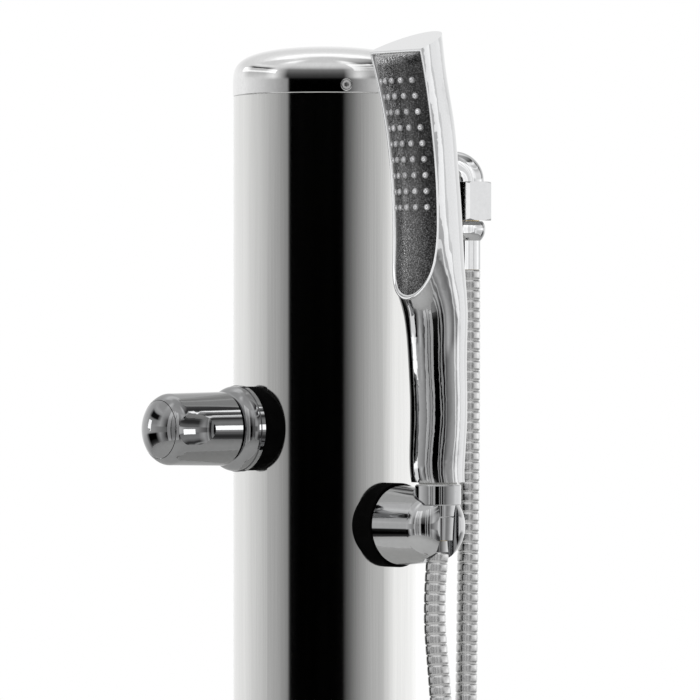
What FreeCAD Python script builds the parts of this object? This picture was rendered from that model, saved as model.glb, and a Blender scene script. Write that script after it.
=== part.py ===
# Outdoor shower post: a brushed tube with a domed cap, a stop tap, a handset in its holder and a ribbed
# hose.
#
# Millimetres. The origin is on the post's axis at floor level, +Z up, and the front of the post faces -Y.
# Azimuths are measured from the front (-Y): positive to the right (+X), negative to the left.
# Wall fittings are drawn along a local +X axis that starts at the post's axis, then turned to their azimuth.

import FreeCAD
import Part
import math
import os

# Post
POST_RADIUS = 50.8
POST_WALL = 2.0
POST_HEIGHT = 1150.0

# Places along the post, from the cap's insert down to the outlet, the tap and the holder
OUTLET_BELOW_INSERT = 18.1
TAP_BELOW_OUTLET = 145.0
HOLDER_BELOW_TAP = 52.6

# Chamfer of hexagons as a share of the way from flat to corner, and how far cuts run past a wall
HEX_CHAMFER_SHARE = 0.6
OVERCUT = 1.0
WALL_CUT = 12.0
SADDLE_REACH = 60.0

# Floor flange
FLANGE_RADIUS = 95.0
FLANGE_THICK = 8.0
FLANGE_EDGE = 1.5
FLANGE_DRAIN_RADIUS = 30.0
SOCKET_HEIGHT = 30.0
SOCKET_WALL = 4.0
ANCHOR_CIRCLE_RADIUS = 75.0
ANCHOR_HOLE_RADIUS = 5.5
ANCHOR_COUNT = 4

# Cap
CAP_OVERHANG = 0.5
CAP_WALL = 3.0
CAP_DOME_RADIUS = 120.0
CAP_RIM_RADIUS = 6.0
CAP_HEIGHT = 27.8
CAP_JOINT_GAP = 0.1
INSERT_WALL = 4.5
INSERT_DEPTH = 20.0
INSERT_RISE = 9.0
INSERT_CHAMFER = 1.0
CAP_SCREW_RADIUS = 2.4
CAP_SCREW_LENGTH = 7.5
CAP_SCREW_KEY = 2.5
CAP_SCREW_KEY_DEPTH = 2.5
CAP_SCREW_SINK = 0.2
CAP_SCREW_AZIMUTH = 13.5
CAP_SCREW_RISE = 4.4

# Water inlet
INLET_HEIGHT = 140.0
INLET_AZIMUTH = 180.0
THREAD_RADIUS = 10.4775
INLET_REACH = 20.0
INLET_HEX = 27.0
INLET_HEX_THICK = 7.0

# Wall passages
HOLE_CLEARANCE = 0.3
FITTING_TAIL = 24.0
GASKET_THICK = 3.0
GASKET_LIP = 1.5
BACK_NUT_HEX = 27.0
BACK_NUT_THICK = 6.0
FIT = 0.05

# Pipes inside the post
PIPE_RADIUS = 7.5
PIPE_WALL = 1.0
PIPE_BEND = 18.0
PIPE_STRAIGHT = 1.0
PIPE_STEP_NEAR = 45.0
PIPE_STEP_FAR = 85.0
PIPE_NUT_HEX = 24.0
PIPE_NUT_THICK = 14.0
PIPE_SOCKET = 9.0

# Tap
TAP_AZIMUTH = -52.0
TAP_PAD_RADIUS = 23.0
TAP_PAD_THICK = 8.2
ROSETTE_RADIUS = 23.7
ROSETTE_RIM = 2.3
ROSETTE_STEP = 0.5
ROSETTE_LENGTH = 10.3
ROSETTE_NOSE_RADIUS = 18.8
ROSETTE_ROUND_AT = 0.66
ROSETTE_ROUND_DROP = 1.7
ROSETTE_NECK_RADIUS = 14.5
ROSETTE_NECK_LENGTH = 4.0
VALVE_NECK_RADIUS = 12.0
VALVE_NECK_BACK = 1.0
VALVE_BODY_RADIUS = 15.0
VALVE_BODY_LENGTH = 36.0
VALVE_PORT_RADIUS = 10.0
VALVE_PORT_REACH = 26.0
VALVE_SEAT_DEPTH = 6.0
VALVE_WAY_RADIUS = 5.0
CARTRIDGE_RADIUS = 9.0
CARTRIDGE_BORE = 8.2
CARTRIDGE_CHAMBER = 3.0
CARTRIDGE_LIP = 3.0
CARTRIDGE_STAND = 2.0
CARTRIDGE_NECK_GAP = 0.5
DISC_THICK = 2.5
DISC_RADIUS = 8.0
DISC_GAP = 0.02
DISC_PORT_RADIUS = 2.0
DISC_PORT_REACH = 4.4
SPINDLE_RADIUS = 4.0
SPINDLE_FLANGE = 2.0
SPINDLE_FLANGE_INSET = 0.3
SPINDLE_CHAMFER = 0.8
SPINDLE_IN_HANDLE = 14.0
SPINDLE_TAPPING = 10.0
SEAL_SECTION = 1.2
SEAL_GROOVE_DEPTH = 0.8
SEAL_FROM_DISC = 12.0
HANDLE_SKIRT_RADIUS = 20.2
HANDLE_END_RADIUS = 19.5
HANDLE_GAP = 1.0
HANDLE_BARREL = 36.0
HANDLE_DOME_RISE = 13.5
HANDLE_DOME_CORNER = 9.0
HANDLE_CHAMFER = 1.5
HANDLE_POCKET = 12.0
HANDLE_POCKET_GAP = 1.0
HANDLE_WEB = 3.0
SCOOP_COUNT = 3
SCOOP_RADIUS = 23.0
SCOOP_DEPTH = 4.0
SCOOP_FROM_SKIRT = 19.0
SCOOP_TO_SKIRT = 36.0
SCOOP_TURN = 0.0
BUTTON_RADIUS = 16.0
BUTTON_GAP = 0.25
BUTTON_SINK = 2.5
BUTTON_PLUG = 2.0
HANDLE_SCREW_RADIUS = 2.5
HANDLE_SCREW_HEAD = 4.25
HANDLE_SCREW_HEAD_THICK = 3.0
HANDLE_SCREW_HEAD_GAP = 0.2
HANDLE_SCREW_BITE = 8.0
HANDLE_SCREW_KEY = 3.0
HANDLE_SCREW_KEY_DEPTH = 2.0

# Handset holder
HOLDER_AZIMUTH = 44.0
HOLDER_PAD_RADIUS = 23.0
HOLDER_PAD_THICK = 8.2
HOLDER_ROOT_RADIUS = 22.0
HOLDER_TIP_RADIUS = 19.8
HOLDER_TAPER = 25.0
HOLDER_NOSE = 13.2
HOLDER_NOSE_FACE = 9.0
HOLDER_NOSE_ROUND_AT = 0.68
HOLDER_NOSE_ROUND_DROP = 3.4
HOLDER_SLOT = 14.4
HOLDER_CUT = 40.0
HOLDER_SPOT_RADIUS = 13.6
HOLDER_SPOT_RISE = 11.5
CONE_REACH = 88.5
HOLDER_BOLT_RADIUS = 4.0
HOLDER_BOLT_DEPTH = 12.0
HOLDER_BOLT_HEX = 13.0
HOLDER_BOLT_HEAD = 5.3
HOLDER_WASHER_RADIUS = 14.0
HOLDER_WASHER_THICK = 5.0

# Outlet elbow
OUTLET_AZIMUTH = 90.0
OUTLET_REACH = 80.0
OUTLET_RADIUS = 8.0
OUTLET_BORE = 5.5
OUTLET_BEND = 8.6
OUTLET_FLANGE_RADIUS = 15.0
OUTLET_FLANGE_THICK = 3.0
OUTLET_FLANGE_EDGE = 1.0
OUTLET_THREAD_DROP = 19.0
OUTLET_THREAD_LENGTH = 9.0

# Hose ends
HOSE_NUT_HEX = 23.6
HOSE_NUT_DROP = 9.0
HOSE_NUT_TURN = 30.0
HOSE_NUT_LENGTH = 21.5
TAIL_RADIUS = 5.4
TAIL_BORE = 4.0
TAIL_FLANGE_RADIUS = 9.6
TAIL_FLANGE_THICK = 2.0
WASHER_THICK = 2.0
BELL_GAP = 0.3
BELL_RADIUS = 8.8
BELL_LENGTH = 11.0
BELL_SHOULDER_SHARE = 0.45
BELL_TOP_INSET = 1.6
BELL_ROUND_DROP = 2.2
BELL_ROUND_INSET = 0.3
BELL_SKIRT_DROP = 3.4
BELL_SKIRT_INSET = 1.0
SLEEVE_LENGTH = 16.0

# Cone nut, which stands in the holder
CONE_COLLAR_RADIUS = 12.5
CONE_COLLAR_LENGTH = 11.2
CONE_COLLAR_CHAMFER = 0.8
CONE_COLLAR_EDGE = 0.5
CONE_TOP_RADIUS = 9.6
CONE_END_RADIUS = 8.6
CONE_LENGTH = 19.0
CONE_GROOVE_DROP = 6.4
CONE_GROOVE = 0.4
CONE_SEAT_GAP = 0.1
CONE_FLOOR = 1.5
CONE_SLEEVE_GAP = 0.4
CONE_SLEEVE_LENGTH = 6.0

# Hose
HOSE_RADIUS = 6.0
HOSE_BORE = 4.2
HOSE_ARC_SHARE = 0.45
HOSE_RIB_COUNT = 196
HOSE_RIB_DEPTH = 0.7
HOSE_PLAIN_END = 12.0
# Where a rib's four circles stand, as shares of the pitch, and whether each lies in the groove
HOSE_RIB_STEPS = [(0.10, True), (0.26, True), (0.42, False), (0.94, False)]
HOSE_BORE_STEP = 2

# Handset
HANDSET_AZIMUTH = -50.0
HANDSET_GAP = 1.2
HANDSET_WALL = 2.2
HANDSET_RIM = 1.5
HANDSET_TOP_FRONT = 30.5
HANDSET_TOP_RISE = 233.0
HANDSET_TOP_SLOPE = 22.5
HANDSET_NIPPLE_LENGTH = 7.0
HANDSET_NIPPLE_FLANGE = 14.0
# Height above the handset's foot, offset of the centre to the front, half width and half depth
HANDSET_SECTIONS = [
    (0.0, 0.0, 14.5, 14.5),
    (25.0, 0.0, 15.4, 15.4),
    (55.0, 0.0, 15.7, 15.7),
    (75.0, 0.7, 16.3, 16.3),
    (98.5, 3.3, 18.0, 18.5),
    (117.5, 9.0, 18.7, 23.0),
    (137.5, 14.0, 19.2, 27.0),
    (164.5, 16.5, 19.4, 27.0),
    (190.5, 19.0, 19.7, 26.4),
    (212.0, 24.0, 20.5, 26.6),
    (233.5, 29.0, 21.6, 27.4),
    (252.0, 33.5, 22.3, 28.0),
]
FACE_WAIST = 16.0
FACE_WAIST_RISE = 135.5
FACE_UPPER_RADIUS = 335.0
FACE_LOWER_RADIUS = 109.0
FACE_RECESS = 0.8
FACE_THICK = 2.0
FACE_CLEARANCE = 0.15
NOZZLE_ROWS = 9
NOZZLE_COLUMNS = 5
NOZZLE_ROW_PITCH = 8.6
NOZZLE_COLUMN_PITCH = 7.6
NOZZLE_FIRST_ROW = 13.0
NOZZLE_BASE_RADIUS = 1.6
NOZZLE_TIP_RADIUS = 1.1
NOZZLE_STAND = 1.6
MAT_THICK = 1.5
MAT_CLEARANCE = 0.5
TRAY_DEPTH = 7.5
TRAY_WALL = 1.5
TRAY_FOOT = 122.0
TRAY_OVERLAP = 0.1
WATER_TUBE_RADIUS = 4.0
WATER_TUBE_WALL = 1.0
WATER_TUBE_BEND = 20.0
WATER_TUBE_SOCKET = 3.0
WATER_TUBE_STEP_FAR = 50.0
WATER_TUBE_STEP_NEAR = 20.0
# How far the cutting shapes of the handset reach
FACE_CUT_BELOW = 60.0
FACE_CUT_ABOVE = 125.0
HANDSET_CUT_FRONT = 90.0
HANDSET_CUT_BACK = -60.0
HANDSET_CUT_WIDTH = 120.0
HANDSET_CUT_RISE = 330.0

# Sizes that follow from the ones above
POST_BORE = POST_RADIUS - POST_WALL
CAP_BASE = POST_HEIGHT - CAP_HEIGHT
TUBE_TOP = CAP_BASE - CAP_JOINT_GAP
CAP_RADIUS = POST_RADIUS + CAP_OVERHANG
OUTLET_HEIGHT = TUBE_TOP - INSERT_DEPTH - OUTLET_BELOW_INSERT
TAP_HEIGHT = OUTLET_HEIGHT - TAP_BELOW_OUTLET
HOLDER_HEIGHT = TAP_HEIGHT - HOLDER_BELOW_TAP
WALL_HOLE = THREAD_RADIUS + HOLE_CLEARANCE
FITTING_END = POST_BORE - FITTING_TAIL
RISER_PLACE = FITTING_END - PIPE_NUT_THICK - PIPE_STRAIGHT - PIPE_BEND
SEAL_RADIUS = SPINDLE_RADIUS - SEAL_GROOVE_DEPTH + SEAL_SECTION + FIT
GLAND_RADIUS = SEAL_RADIUS + SEAL_SECTION + FIT
TAP_PAD_FACE = POST_RADIUS + TAP_PAD_THICK
HOLDER_PAD_FACE = POST_RADIUS + HOLDER_PAD_THICK
SMALL_PAD_FACE = POST_RADIUS + GASKET_THICK
CONE_SEAT = HOLDER_HEIGHT + HOLDER_SPOT_RISE
COLLAR_FOOT = CONE_SEAT + CONE_SEAT_GAP
COLLAR_TOP = COLLAR_FOOT + CONE_COLLAR_LENGTH
CONE_FOOT = COLLAR_FOOT - CONE_LENGTH
SLEEVE_TOP = CONE_FOOT - CONE_SLEEVE_GAP
SLEEVE_FOOT = SLEEVE_TOP - CONE_SLEEVE_LENGTH
TAIL_SEAT = COLLAR_FOOT + CONE_FLOOR
HANDSET_FOOT = COLLAR_TOP + HANDSET_GAP
OUTLET_NUT_TOP = OUTLET_HEIGHT - HOSE_NUT_DROP
OUTLET_NUT_FOOT = OUTLET_NUT_TOP - HOSE_NUT_LENGTH
BELL_FOOT = OUTLET_NUT_FOOT - BELL_LENGTH
HOSE_TOP = BELL_FOOT - SLEEVE_LENGTH
CONE_X = CONE_REACH * math.sin(math.radians(HOLDER_AZIMUTH))
CONE_Y = -CONE_REACH * math.cos(math.radians(HOLDER_AZIMUTH))

# The hose from the outlet sleeve down, round its loop and up to the cone nut, through points chosen by hand.
# Heights are drops: the first strand's below the outlet sleeve, the second's below the sleeve at the cone.
HOSE_FIRST_STRAND = [
    (OUTLET_REACH, 0.0, 0.0),
    (OUTLET_REACH, 0.0, 51.5),
    (79.4, 0.6, 146.5),
    (78.0, 3.2, 251.5),
    (76.4, 9.0, 376.5),
    (75.4, 20.0, 506.5),
    (75.0, 31.0, 621.5),
    (75.0, 32.0, 741.5),
    (75.0, -8.0, 782.5),
]
HOSE_SECOND_STRAND = [
    (75.5, -65.0, 628.5),
    (76.5, -105.0, 588.6),
    (76.5, -107.0, 482.6),
    (75.5, -99.0, 357.6),
    (72.6, -86.5, 237.6),
    (67.6, -74.0, 142.6),
    (62.8, -65.4, 72.6),
    (CONE_X, CONE_Y, 32.0),
    (CONE_X, CONE_Y, 0.0),
]
HOSE_ROUTE = [(x, y, HOSE_TOP - drop) for x, y, drop in HOSE_FIRST_STRAND]
HOSE_ROUTE += [(x, y, SLEEVE_FOOT - drop) for x, y, drop in HOSE_SECOND_STRAND]

UP = FreeCAD.Vector(0, 0, 1)
OUT = FreeCAD.Vector(1, 0, 0)
CENTRE = FreeCAD.Vector(0, 0, 0)


# Shapes that are used again and again

def rod(radius, start, end, axis=OUT, at=CENTRE):
    """A round bar along an axis, from one distance to another."""
    return Part.makeCylinder(radius, end - start, at + axis * start, axis)


def ring(outer, inner, start, end, axis=OUT, at=CENTRE):
    """A round tube along an axis."""
    return rod(outer, start, end, axis, at).cut(rod(inner, start, end, axis, at))


def hexagon(flats, start, end, axis=OUT, at=CENTRE):
    """A hexagonal bar with its corners chamfered at both ends, measured across its flats."""
    corner = flats / math.sqrt(3.0)
    points = [
        FreeCAD.Vector(0, corner * math.sin(math.radians(60 * k)), corner * math.cos(math.radians(60 * k)))
        for k in range(7)
    ]
    bar = Part.Face(Part.makePolygon(points)).extrude(OUT * (end - start))
    lean = (corner - flats / 2) * HEX_CHAMFER_SHARE
    length = end - start
    blank = turned(
        OUT, (0, 0), (0, flats / 2), (lean, corner), (length - lean, corner), (length, flats / 2),
        (length, 0),
    )
    bar = bar.common(blank)
    along = FreeCAD.Placement(at + axis * start, FreeCAD.Rotation(OUT, axis))
    bar.Placement = along.multiply(bar.Placement)
    return bar


def profile(place, start, steps):
    """A closed face through points. A step with two points is an arc through the first to the second."""
    edges = []
    here = place(*start)
    for step in steps:
        if isinstance(step[0], tuple):
            middle, end = place(*step[0]), place(*step[1])
            edges.append(Part.Arc(here, middle, end).toShape())
        else:
            end = place(*step)
            edges.append(Part.makeLine(here, end))
        here = end
    edges.append(Part.makeLine(here, place(*start)))
    return Part.Face(Part.Wire(edges))


def turned(axis, start, *steps):
    """A turned piece. Points are (distance along the axis, radius), for the X or the Z axis."""
    if axis == OUT:
        def place(along, radius):
            return FreeCAD.Vector(along, 0, radius)
    else:
        def place(along, radius):
            return FreeCAD.Vector(radius, 0, along)
    return profile(place, start, steps).revolve(CENTRE, axis, 360)


def side_profile(width, start, *steps):
    """A prism across the local Y axis. Points are (x, z)."""
    face = profile(lambda x, z: FreeCAD.Vector(x, -width / 2, z), start, steps)
    return face.extrude(FreeCAD.Vector(0, width, 0))


def placed(shape, azimuth, height, x=0.0, y=0.0):
    """Turns a piece from the local +X axis to its azimuth and lifts it to its height."""
    copy = shape.copy()
    copy.rotate(CENTRE, UP, azimuth - 90.0)
    copy.translate(FreeCAD.Vector(x, y, height))
    return copy


def stood(shape, x, y, turn=0.0):
    """Moves an upright piece to an upright axis of its own."""
    copy = shape.copy()
    copy.rotate(CENTRE, UP, turn)
    copy.translate(FreeCAD.Vector(x, y, 0))
    return copy


def fused(first, *others):
    """Fuses pieces into one and cleans the seams between them."""
    return first.fuse(list(others)).removeSplitter()


def post_cylinder(radius):
    """The tube's surface as a tall cylinder round the post's axis, for saddles and curved washers."""
    return rod(radius, -SADDLE_REACH, SADDLE_REACH, UP)


def saddle(outer, inner, face):
    """A pad with a flat outer face whose back follows the outside of the tube."""
    return ring(outer, inner, POST_RADIUS - outer, face).cut(post_cylinder(POST_RADIUS))


def bent_path(points, share=None, radius=None):
    """Straight runs joined by tangent arcs, of a given radius or of a share of the shorter run."""
    points = [FreeCAD.Vector(*p) for p in points]
    edges = []
    radii = []
    here = points[0]
    for before, corner, after in zip(points, points[1:], points[2:]):
        back, ahead = (before - corner), (after - corner)
        runs = min(back.Length, ahead.Length)
        back.normalize()
        ahead.normalize()
        half_turn = (math.pi - back.getAngle(ahead)) / 2
        bend = share * runs / math.tan(half_turn) if share else radius
        trim = bend * math.tan(half_turn)
        start, end = corner + back * trim, corner + ahead * trim
        inward = back + ahead
        inward.normalize()
        middle = corner + inward * (bend / math.cos(half_turn) - bend)
        edges.append(Part.LineSegment(here, start).toShape())
        edges.append(Part.Arc(start, middle, end).toShape())
        radii.append(bend)
        here = end
    edges.append(Part.LineSegment(here, points[-1]).toShape())
    return Part.Wire(edges), radii


def swept_rod(path, radius):
    """A round bar along a path."""
    start = path.OrderedEdges[0]
    direction = start.tangentAt(start.FirstParameter)
    circle = Part.Wire(Part.makeCircle(radius, path.OrderedVertexes[0].Point, direction))
    return path.makePipeShell([circle], True, False)


def swept_tube(path, outer, inner):
    """A round tube along a path."""
    return swept_rod(path, outer).cut(swept_rod(path, inner))


# Post, flange and cap

def post_tube():
    """The tube, with the holes of the tap, the holder's bolt, the outlet and the inlet."""
    tube = ring(POST_RADIUS, POST_BORE, FLANGE_THICK, TUBE_TOP, UP)
    holes = [
        (VALVE_NECK_RADIUS + FIT, TAP_AZIMUTH, TAP_HEIGHT),
        (HOLDER_BOLT_RADIUS + FIT, HOLDER_AZIMUTH, HOLDER_HEIGHT),
        (WALL_HOLE, OUTLET_AZIMUTH, OUTLET_HEIGHT),
        (WALL_HOLE, INLET_AZIMUTH, INLET_HEIGHT),
    ]
    for radius, azimuth, height in holes:
        tube = tube.cut(placed(rod(radius, POST_BORE - WALL_CUT, POST_RADIUS + WALL_CUT), azimuth, height))
    return tube


def base_flange():
    """The floor flange with its anchor holes and the spigot that the tube is welded over."""
    flange = turned(
        UP, (0, FLANGE_DRAIN_RADIUS), (0, FLANGE_RADIUS), (FLANGE_THICK - FLANGE_EDGE, FLANGE_RADIUS),
        (FLANGE_THICK, FLANGE_RADIUS - FLANGE_EDGE), (FLANGE_THICK, POST_BORE - FIT),
        (FLANGE_THICK + SOCKET_HEIGHT, POST_BORE - FIT),
        (FLANGE_THICK + SOCKET_HEIGHT, POST_BORE - FIT - SOCKET_WALL),
        (FLANGE_THICK, POST_BORE - FIT - SOCKET_WALL), (FLANGE_THICK, FLANGE_DRAIN_RADIUS),
    )
    for k in range(ANCHOR_COUNT):
        angle = math.radians(45 + 360 / ANCHOR_COUNT * k)
        spot = FreeCAD.Vector(math.cos(angle), math.sin(angle), 0) * ANCHOR_CIRCLE_RADIUS
        flange = flange.cut(rod(ANCHOR_HOLE_RADIUS, 0, FLANGE_THICK, UP, spot))
    return flange


def dome_profile(radius, top, dome, rim):
    """Where the dome meets the rim's arc, the middle of that arc and where the skirt starts."""
    rim_centre = radius - rim
    drop = math.sqrt((dome - rim) ** 2 - rim_centre ** 2)
    rim_height = top - dome + drop
    lean = math.atan2(drop, rim_centre)
    dome_end = (top - dome + dome * math.sin(lean), dome * math.cos(lean))
    middle = (rim_height + rim * math.sin(lean / 2), rim_centre + rim * math.cos(lean / 2))
    return dome_end, middle, (rim_height, radius)


def dome_middle(radius_there, top, dome):
    """A point on the dome."""
    return (top - dome + math.sqrt(dome ** 2 - radius_there ** 2), radius_there)


def top_cap():
    """The domed cap: a shell of one wall, open below, with the screw hole in its skirt."""
    outer_end, outer_mid, outer_skirt = dome_profile(
        CAP_RADIUS, POST_HEIGHT, CAP_DOME_RADIUS, CAP_RIM_RADIUS
    )
    inner_end, inner_mid, inner_skirt = dome_profile(
        CAP_RADIUS - CAP_WALL, POST_HEIGHT - CAP_WALL, CAP_DOME_RADIUS - CAP_WALL, CAP_RIM_RADIUS - CAP_WALL
    )
    cap = turned(
        UP, (CAP_BASE, CAP_RADIUS - CAP_WALL), (CAP_BASE, CAP_RADIUS), outer_skirt, (outer_mid, outer_end),
        (dome_middle(outer_end[1] / 2, POST_HEIGHT, CAP_DOME_RADIUS), (POST_HEIGHT, 0)),
        (POST_HEIGHT - CAP_WALL, 0),
        (dome_middle(inner_end[1] / 2, POST_HEIGHT - CAP_WALL, CAP_DOME_RADIUS - CAP_WALL), inner_end),
        (inner_mid, inner_skirt),
    )
    return cap.cut(cap_screw_hole())


def cap_screw_hole():
    """The way of the cap's set screw through the skirt and the insert."""
    hole = rod(CAP_SCREW_RADIUS, CAP_RADIUS - WALL_CUT, CAP_RADIUS + OVERCUT)
    return placed(hole, CAP_SCREW_AZIMUTH, CAP_BASE + CAP_SCREW_RISE)


def cap_insert():
    """The ring that is pressed into the tube and that the cap sits over."""
    lower, upper = POST_BORE - FIT, CAP_RADIUS - CAP_WALL - FIT
    inner = POST_BORE - FIT - INSERT_WALL
    foot, head = TUBE_TOP - INSERT_DEPTH, TUBE_TOP + INSERT_RISE
    insert = turned(
        UP, (foot, inner), (foot, lower - INSERT_CHAMFER), (foot + INSERT_CHAMFER, lower),
        (TUBE_TOP, lower), (TUBE_TOP, upper), (head - INSERT_CHAMFER, upper),
        (head, upper - INSERT_CHAMFER), (head, inner),
    )
    return insert.cut(cap_screw_hole())


def cap_set_screw():
    """The set screw with its hexagon socket."""
    end = CAP_RADIUS - CAP_SCREW_SINK
    screw = rod(CAP_SCREW_RADIUS, end - CAP_SCREW_LENGTH, end)
    screw = screw.cut(hexagon(CAP_SCREW_KEY, end - CAP_SCREW_KEY_DEPTH, end + OVERCUT))
    return placed(screw, CAP_SCREW_AZIMUTH, CAP_BASE + CAP_SCREW_RISE)


# Water way inside the post

def wall_back_nut():
    """A hexagon nut that clamps a fitting against the inside of the tube."""
    face = math.sqrt(POST_BORE ** 2 - (BACK_NUT_HEX / math.sqrt(3.0)) ** 2)
    nut = hexagon(BACK_NUT_HEX, face - BACK_NUT_THICK, face)
    return nut.cut(rod(THREAD_RADIUS, face - BACK_NUT_THICK - OVERCUT, face + OVERCUT))


def inlet_nipple():
    """The inlet: threaded outside and inside the wall, with a hexagon against the gasket."""
    outer_end = SMALL_PAD_FACE + INLET_HEX_THICK + INLET_REACH
    nipple = fused(
        rod(THREAD_RADIUS, FITTING_END, outer_end),
        hexagon(INLET_HEX, SMALL_PAD_FACE, SMALL_PAD_FACE + INLET_HEX_THICK),
    )
    nipple = nipple.cut(rod(PIPE_RADIUS - PIPE_WALL, FITTING_END, outer_end))
    return nipple.cut(rod(PIPE_RADIUS, FITTING_END, FITTING_END + PIPE_SOCKET))


def inlet_gasket():
    """The rubber saddle under the inlet's hexagon."""
    return saddle(INLET_HEX / 2 + GASKET_LIP, THREAD_RADIUS, SMALL_PAD_FACE)


def valve_port(side):
    """The point where a riser meets the valve: above (+1) or below (-1) the tap's axis."""
    reach = VALVE_BODY_LENGTH / 2
    angle = math.radians(TAP_AZIMUTH)
    return (
        reach * math.sin(angle), -reach * math.cos(angle),
        TAP_HEIGHT + side * (VALVE_PORT_REACH - PIPE_SOCKET),
    )


def riser_lower():
    """The pipe from the inlet up to the valve."""
    port = valve_port(-1)
    points = [
        (0, FITTING_END + PIPE_SOCKET, INLET_HEIGHT),
        (0, RISER_PLACE, INLET_HEIGHT),
        (0, RISER_PLACE, port[2] - PIPE_STEP_FAR),
        (port[0], port[1], port[2] - PIPE_STEP_NEAR),
        port,
    ]
    path, _ = bent_path(points, radius=PIPE_BEND)
    return swept_tube(path, PIPE_RADIUS, PIPE_RADIUS - PIPE_WALL)


def riser_upper():
    """The pipe from the valve up to the outlet."""
    port = valve_port(1)
    points = [
        port,
        (port[0], port[1], port[2] + PIPE_STEP_NEAR),
        (RISER_PLACE, 0, port[2] + PIPE_STEP_FAR),
        (RISER_PLACE, 0, OUTLET_HEIGHT),
        (FITTING_END + PIPE_SOCKET, 0, OUTLET_HEIGHT),
    ]
    path, _ = bent_path(points, radius=PIPE_BEND)
    return swept_tube(path, PIPE_RADIUS, PIPE_RADIUS - PIPE_WALL)


def riser_nuts():
    """The compression nuts: two on the valve's ports, one on the inlet and one on the outlet."""
    blank = hexagon(PIPE_NUT_HEX, 0, PIPE_NUT_THICK)
    blank = blank.cut(rod(PIPE_RADIUS, -OVERCUT, PIPE_NUT_THICK + OVERCUT))
    x, y, _ = valve_port(1)
    nuts = []
    for direction in (1, -1):
        nut = blank.copy()
        nut.rotate(CENTRE, FreeCAD.Vector(0, 1, 0), -90 * direction)
        nut.translate(FreeCAD.Vector(x, y, TAP_HEIGHT + direction * VALVE_PORT_REACH))
        nuts.append(nut)
    for azimuth, height in ((INLET_AZIMUTH, INLET_HEIGHT), (OUTLET_AZIMUTH, OUTLET_HEIGHT)):
        nut = blank.copy()
        nut.translate(OUT * (FITTING_END - PIPE_NUT_THICK))
        nuts.append(placed(nut, azimuth, height))
    return Part.makeCompound(nuts)


# Tap

def tap_valve_body():
    """The brass body behind the wall, its neck through the wall and its two ports."""
    middle = VALVE_BODY_LENGTH / 2
    shoulder = math.sqrt(POST_BORE ** 2 - VALVE_BODY_RADIUS ** 2)
    neck_end = TAP_PAD_FACE + ROSETTE_LENGTH - VALVE_NECK_BACK
    body = fused(
        rod(VALVE_BODY_RADIUS, 0, shoulder),
        rod(VALVE_NECK_RADIUS, shoulder, neck_end),
        rod(VALVE_PORT_RADIUS, -VALVE_PORT_REACH, VALVE_PORT_REACH, UP, OUT * middle),
    )
    body = body.cut(rod(CARTRIDGE_RADIUS, tap_seat(), neck_end + OVERCUT))
    body = body.cut(rod(VALVE_WAY_RADIUS, middle, tap_seat() + OVERCUT))
    body = body.cut(rod(VALVE_WAY_RADIUS, -VALVE_PORT_REACH, VALVE_PORT_REACH, UP, OUT * middle))
    for start in (-VALVE_PORT_REACH, VALVE_PORT_REACH - PIPE_SOCKET):
        body = body.cut(rod(PIPE_RADIUS, start, start + PIPE_SOCKET, UP, OUT * middle))
    return placed(body, TAP_AZIMUTH, TAP_HEIGHT)


def tap_seat():
    """Where the ceramic discs start, measured from the post's axis."""
    return VALVE_BODY_LENGTH / 2 + VALVE_SEAT_DEPTH


def tap_gasket():
    """The thick black saddle between the tube and the rosette."""
    return placed(saddle(TAP_PAD_RADIUS, VALVE_NECK_RADIUS, TAP_PAD_FACE), TAP_AZIMUTH, TAP_HEIGHT)


def tap_rosette():
    """The chromed collar: a rim, a rounded front and a neck that runs into the handle."""
    rim_end = TAP_PAD_FACE + ROSETTE_RIM
    nose = TAP_PAD_FACE + ROSETTE_LENGTH
    round_middle = (rim_end + (nose - rim_end) * ROSETTE_ROUND_AT, ROSETTE_RADIUS - ROSETTE_ROUND_DROP)
    neck_bore = CARTRIDGE_RADIUS + CARTRIDGE_NECK_GAP
    rosette = turned(
        OUT, (TAP_PAD_FACE, VALVE_NECK_RADIUS), (TAP_PAD_FACE, ROSETTE_RADIUS), (rim_end, ROSETTE_RADIUS),
        (rim_end, ROSETTE_RADIUS - ROSETTE_STEP), (round_middle, (nose, ROSETTE_NOSE_RADIUS)),
        (nose, ROSETTE_NECK_RADIUS), (nose + ROSETTE_NECK_LENGTH, ROSETTE_NECK_RADIUS),
        (nose + ROSETTE_NECK_LENGTH, neck_bore), (nose - VALVE_NECK_BACK, neck_bore),
        (nose - VALVE_NECK_BACK, VALVE_NECK_RADIUS),
    )
    return placed(rosette, TAP_AZIMUTH, TAP_HEIGHT)


def tap_cartridge():
    """The cartridge housing, screwed into the body over the two discs."""
    seat = tap_seat()
    end = TAP_PAD_FACE + ROSETTE_LENGTH + ROSETTE_NECK_LENGTH + CARTRIDGE_STAND
    gland = seat + 2 * DISC_THICK + CARTRIDGE_CHAMBER
    housing = fused(
        ring(CARTRIDGE_RADIUS, CARTRIDGE_BORE, seat, gland),
        ring(CARTRIDGE_RADIUS, GLAND_RADIUS, gland, end - CARTRIDGE_LIP),
        ring(CARTRIDGE_RADIUS, SPINDLE_RADIUS + FIT, end - CARTRIDGE_LIP, end),
    )
    return placed(housing, TAP_AZIMUTH, TAP_HEIGHT)


def ceramic_disc(start):
    """A ceramic disc with two opposite fan-shaped ports."""
    disc = rod(DISC_RADIUS, start, start + DISC_THICK)
    for side in (1, -1):
        spot = UP * side * DISC_PORT_REACH
        disc = disc.cut(rod(DISC_PORT_RADIUS, start - OVERCUT, start + DISC_THICK + OVERCUT, OUT, spot))
    return disc


def tap_fixed_disc():
    """The disc that stands still on the seat."""
    return placed(ceramic_disc(tap_seat()), TAP_AZIMUTH, TAP_HEIGHT)


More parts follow.
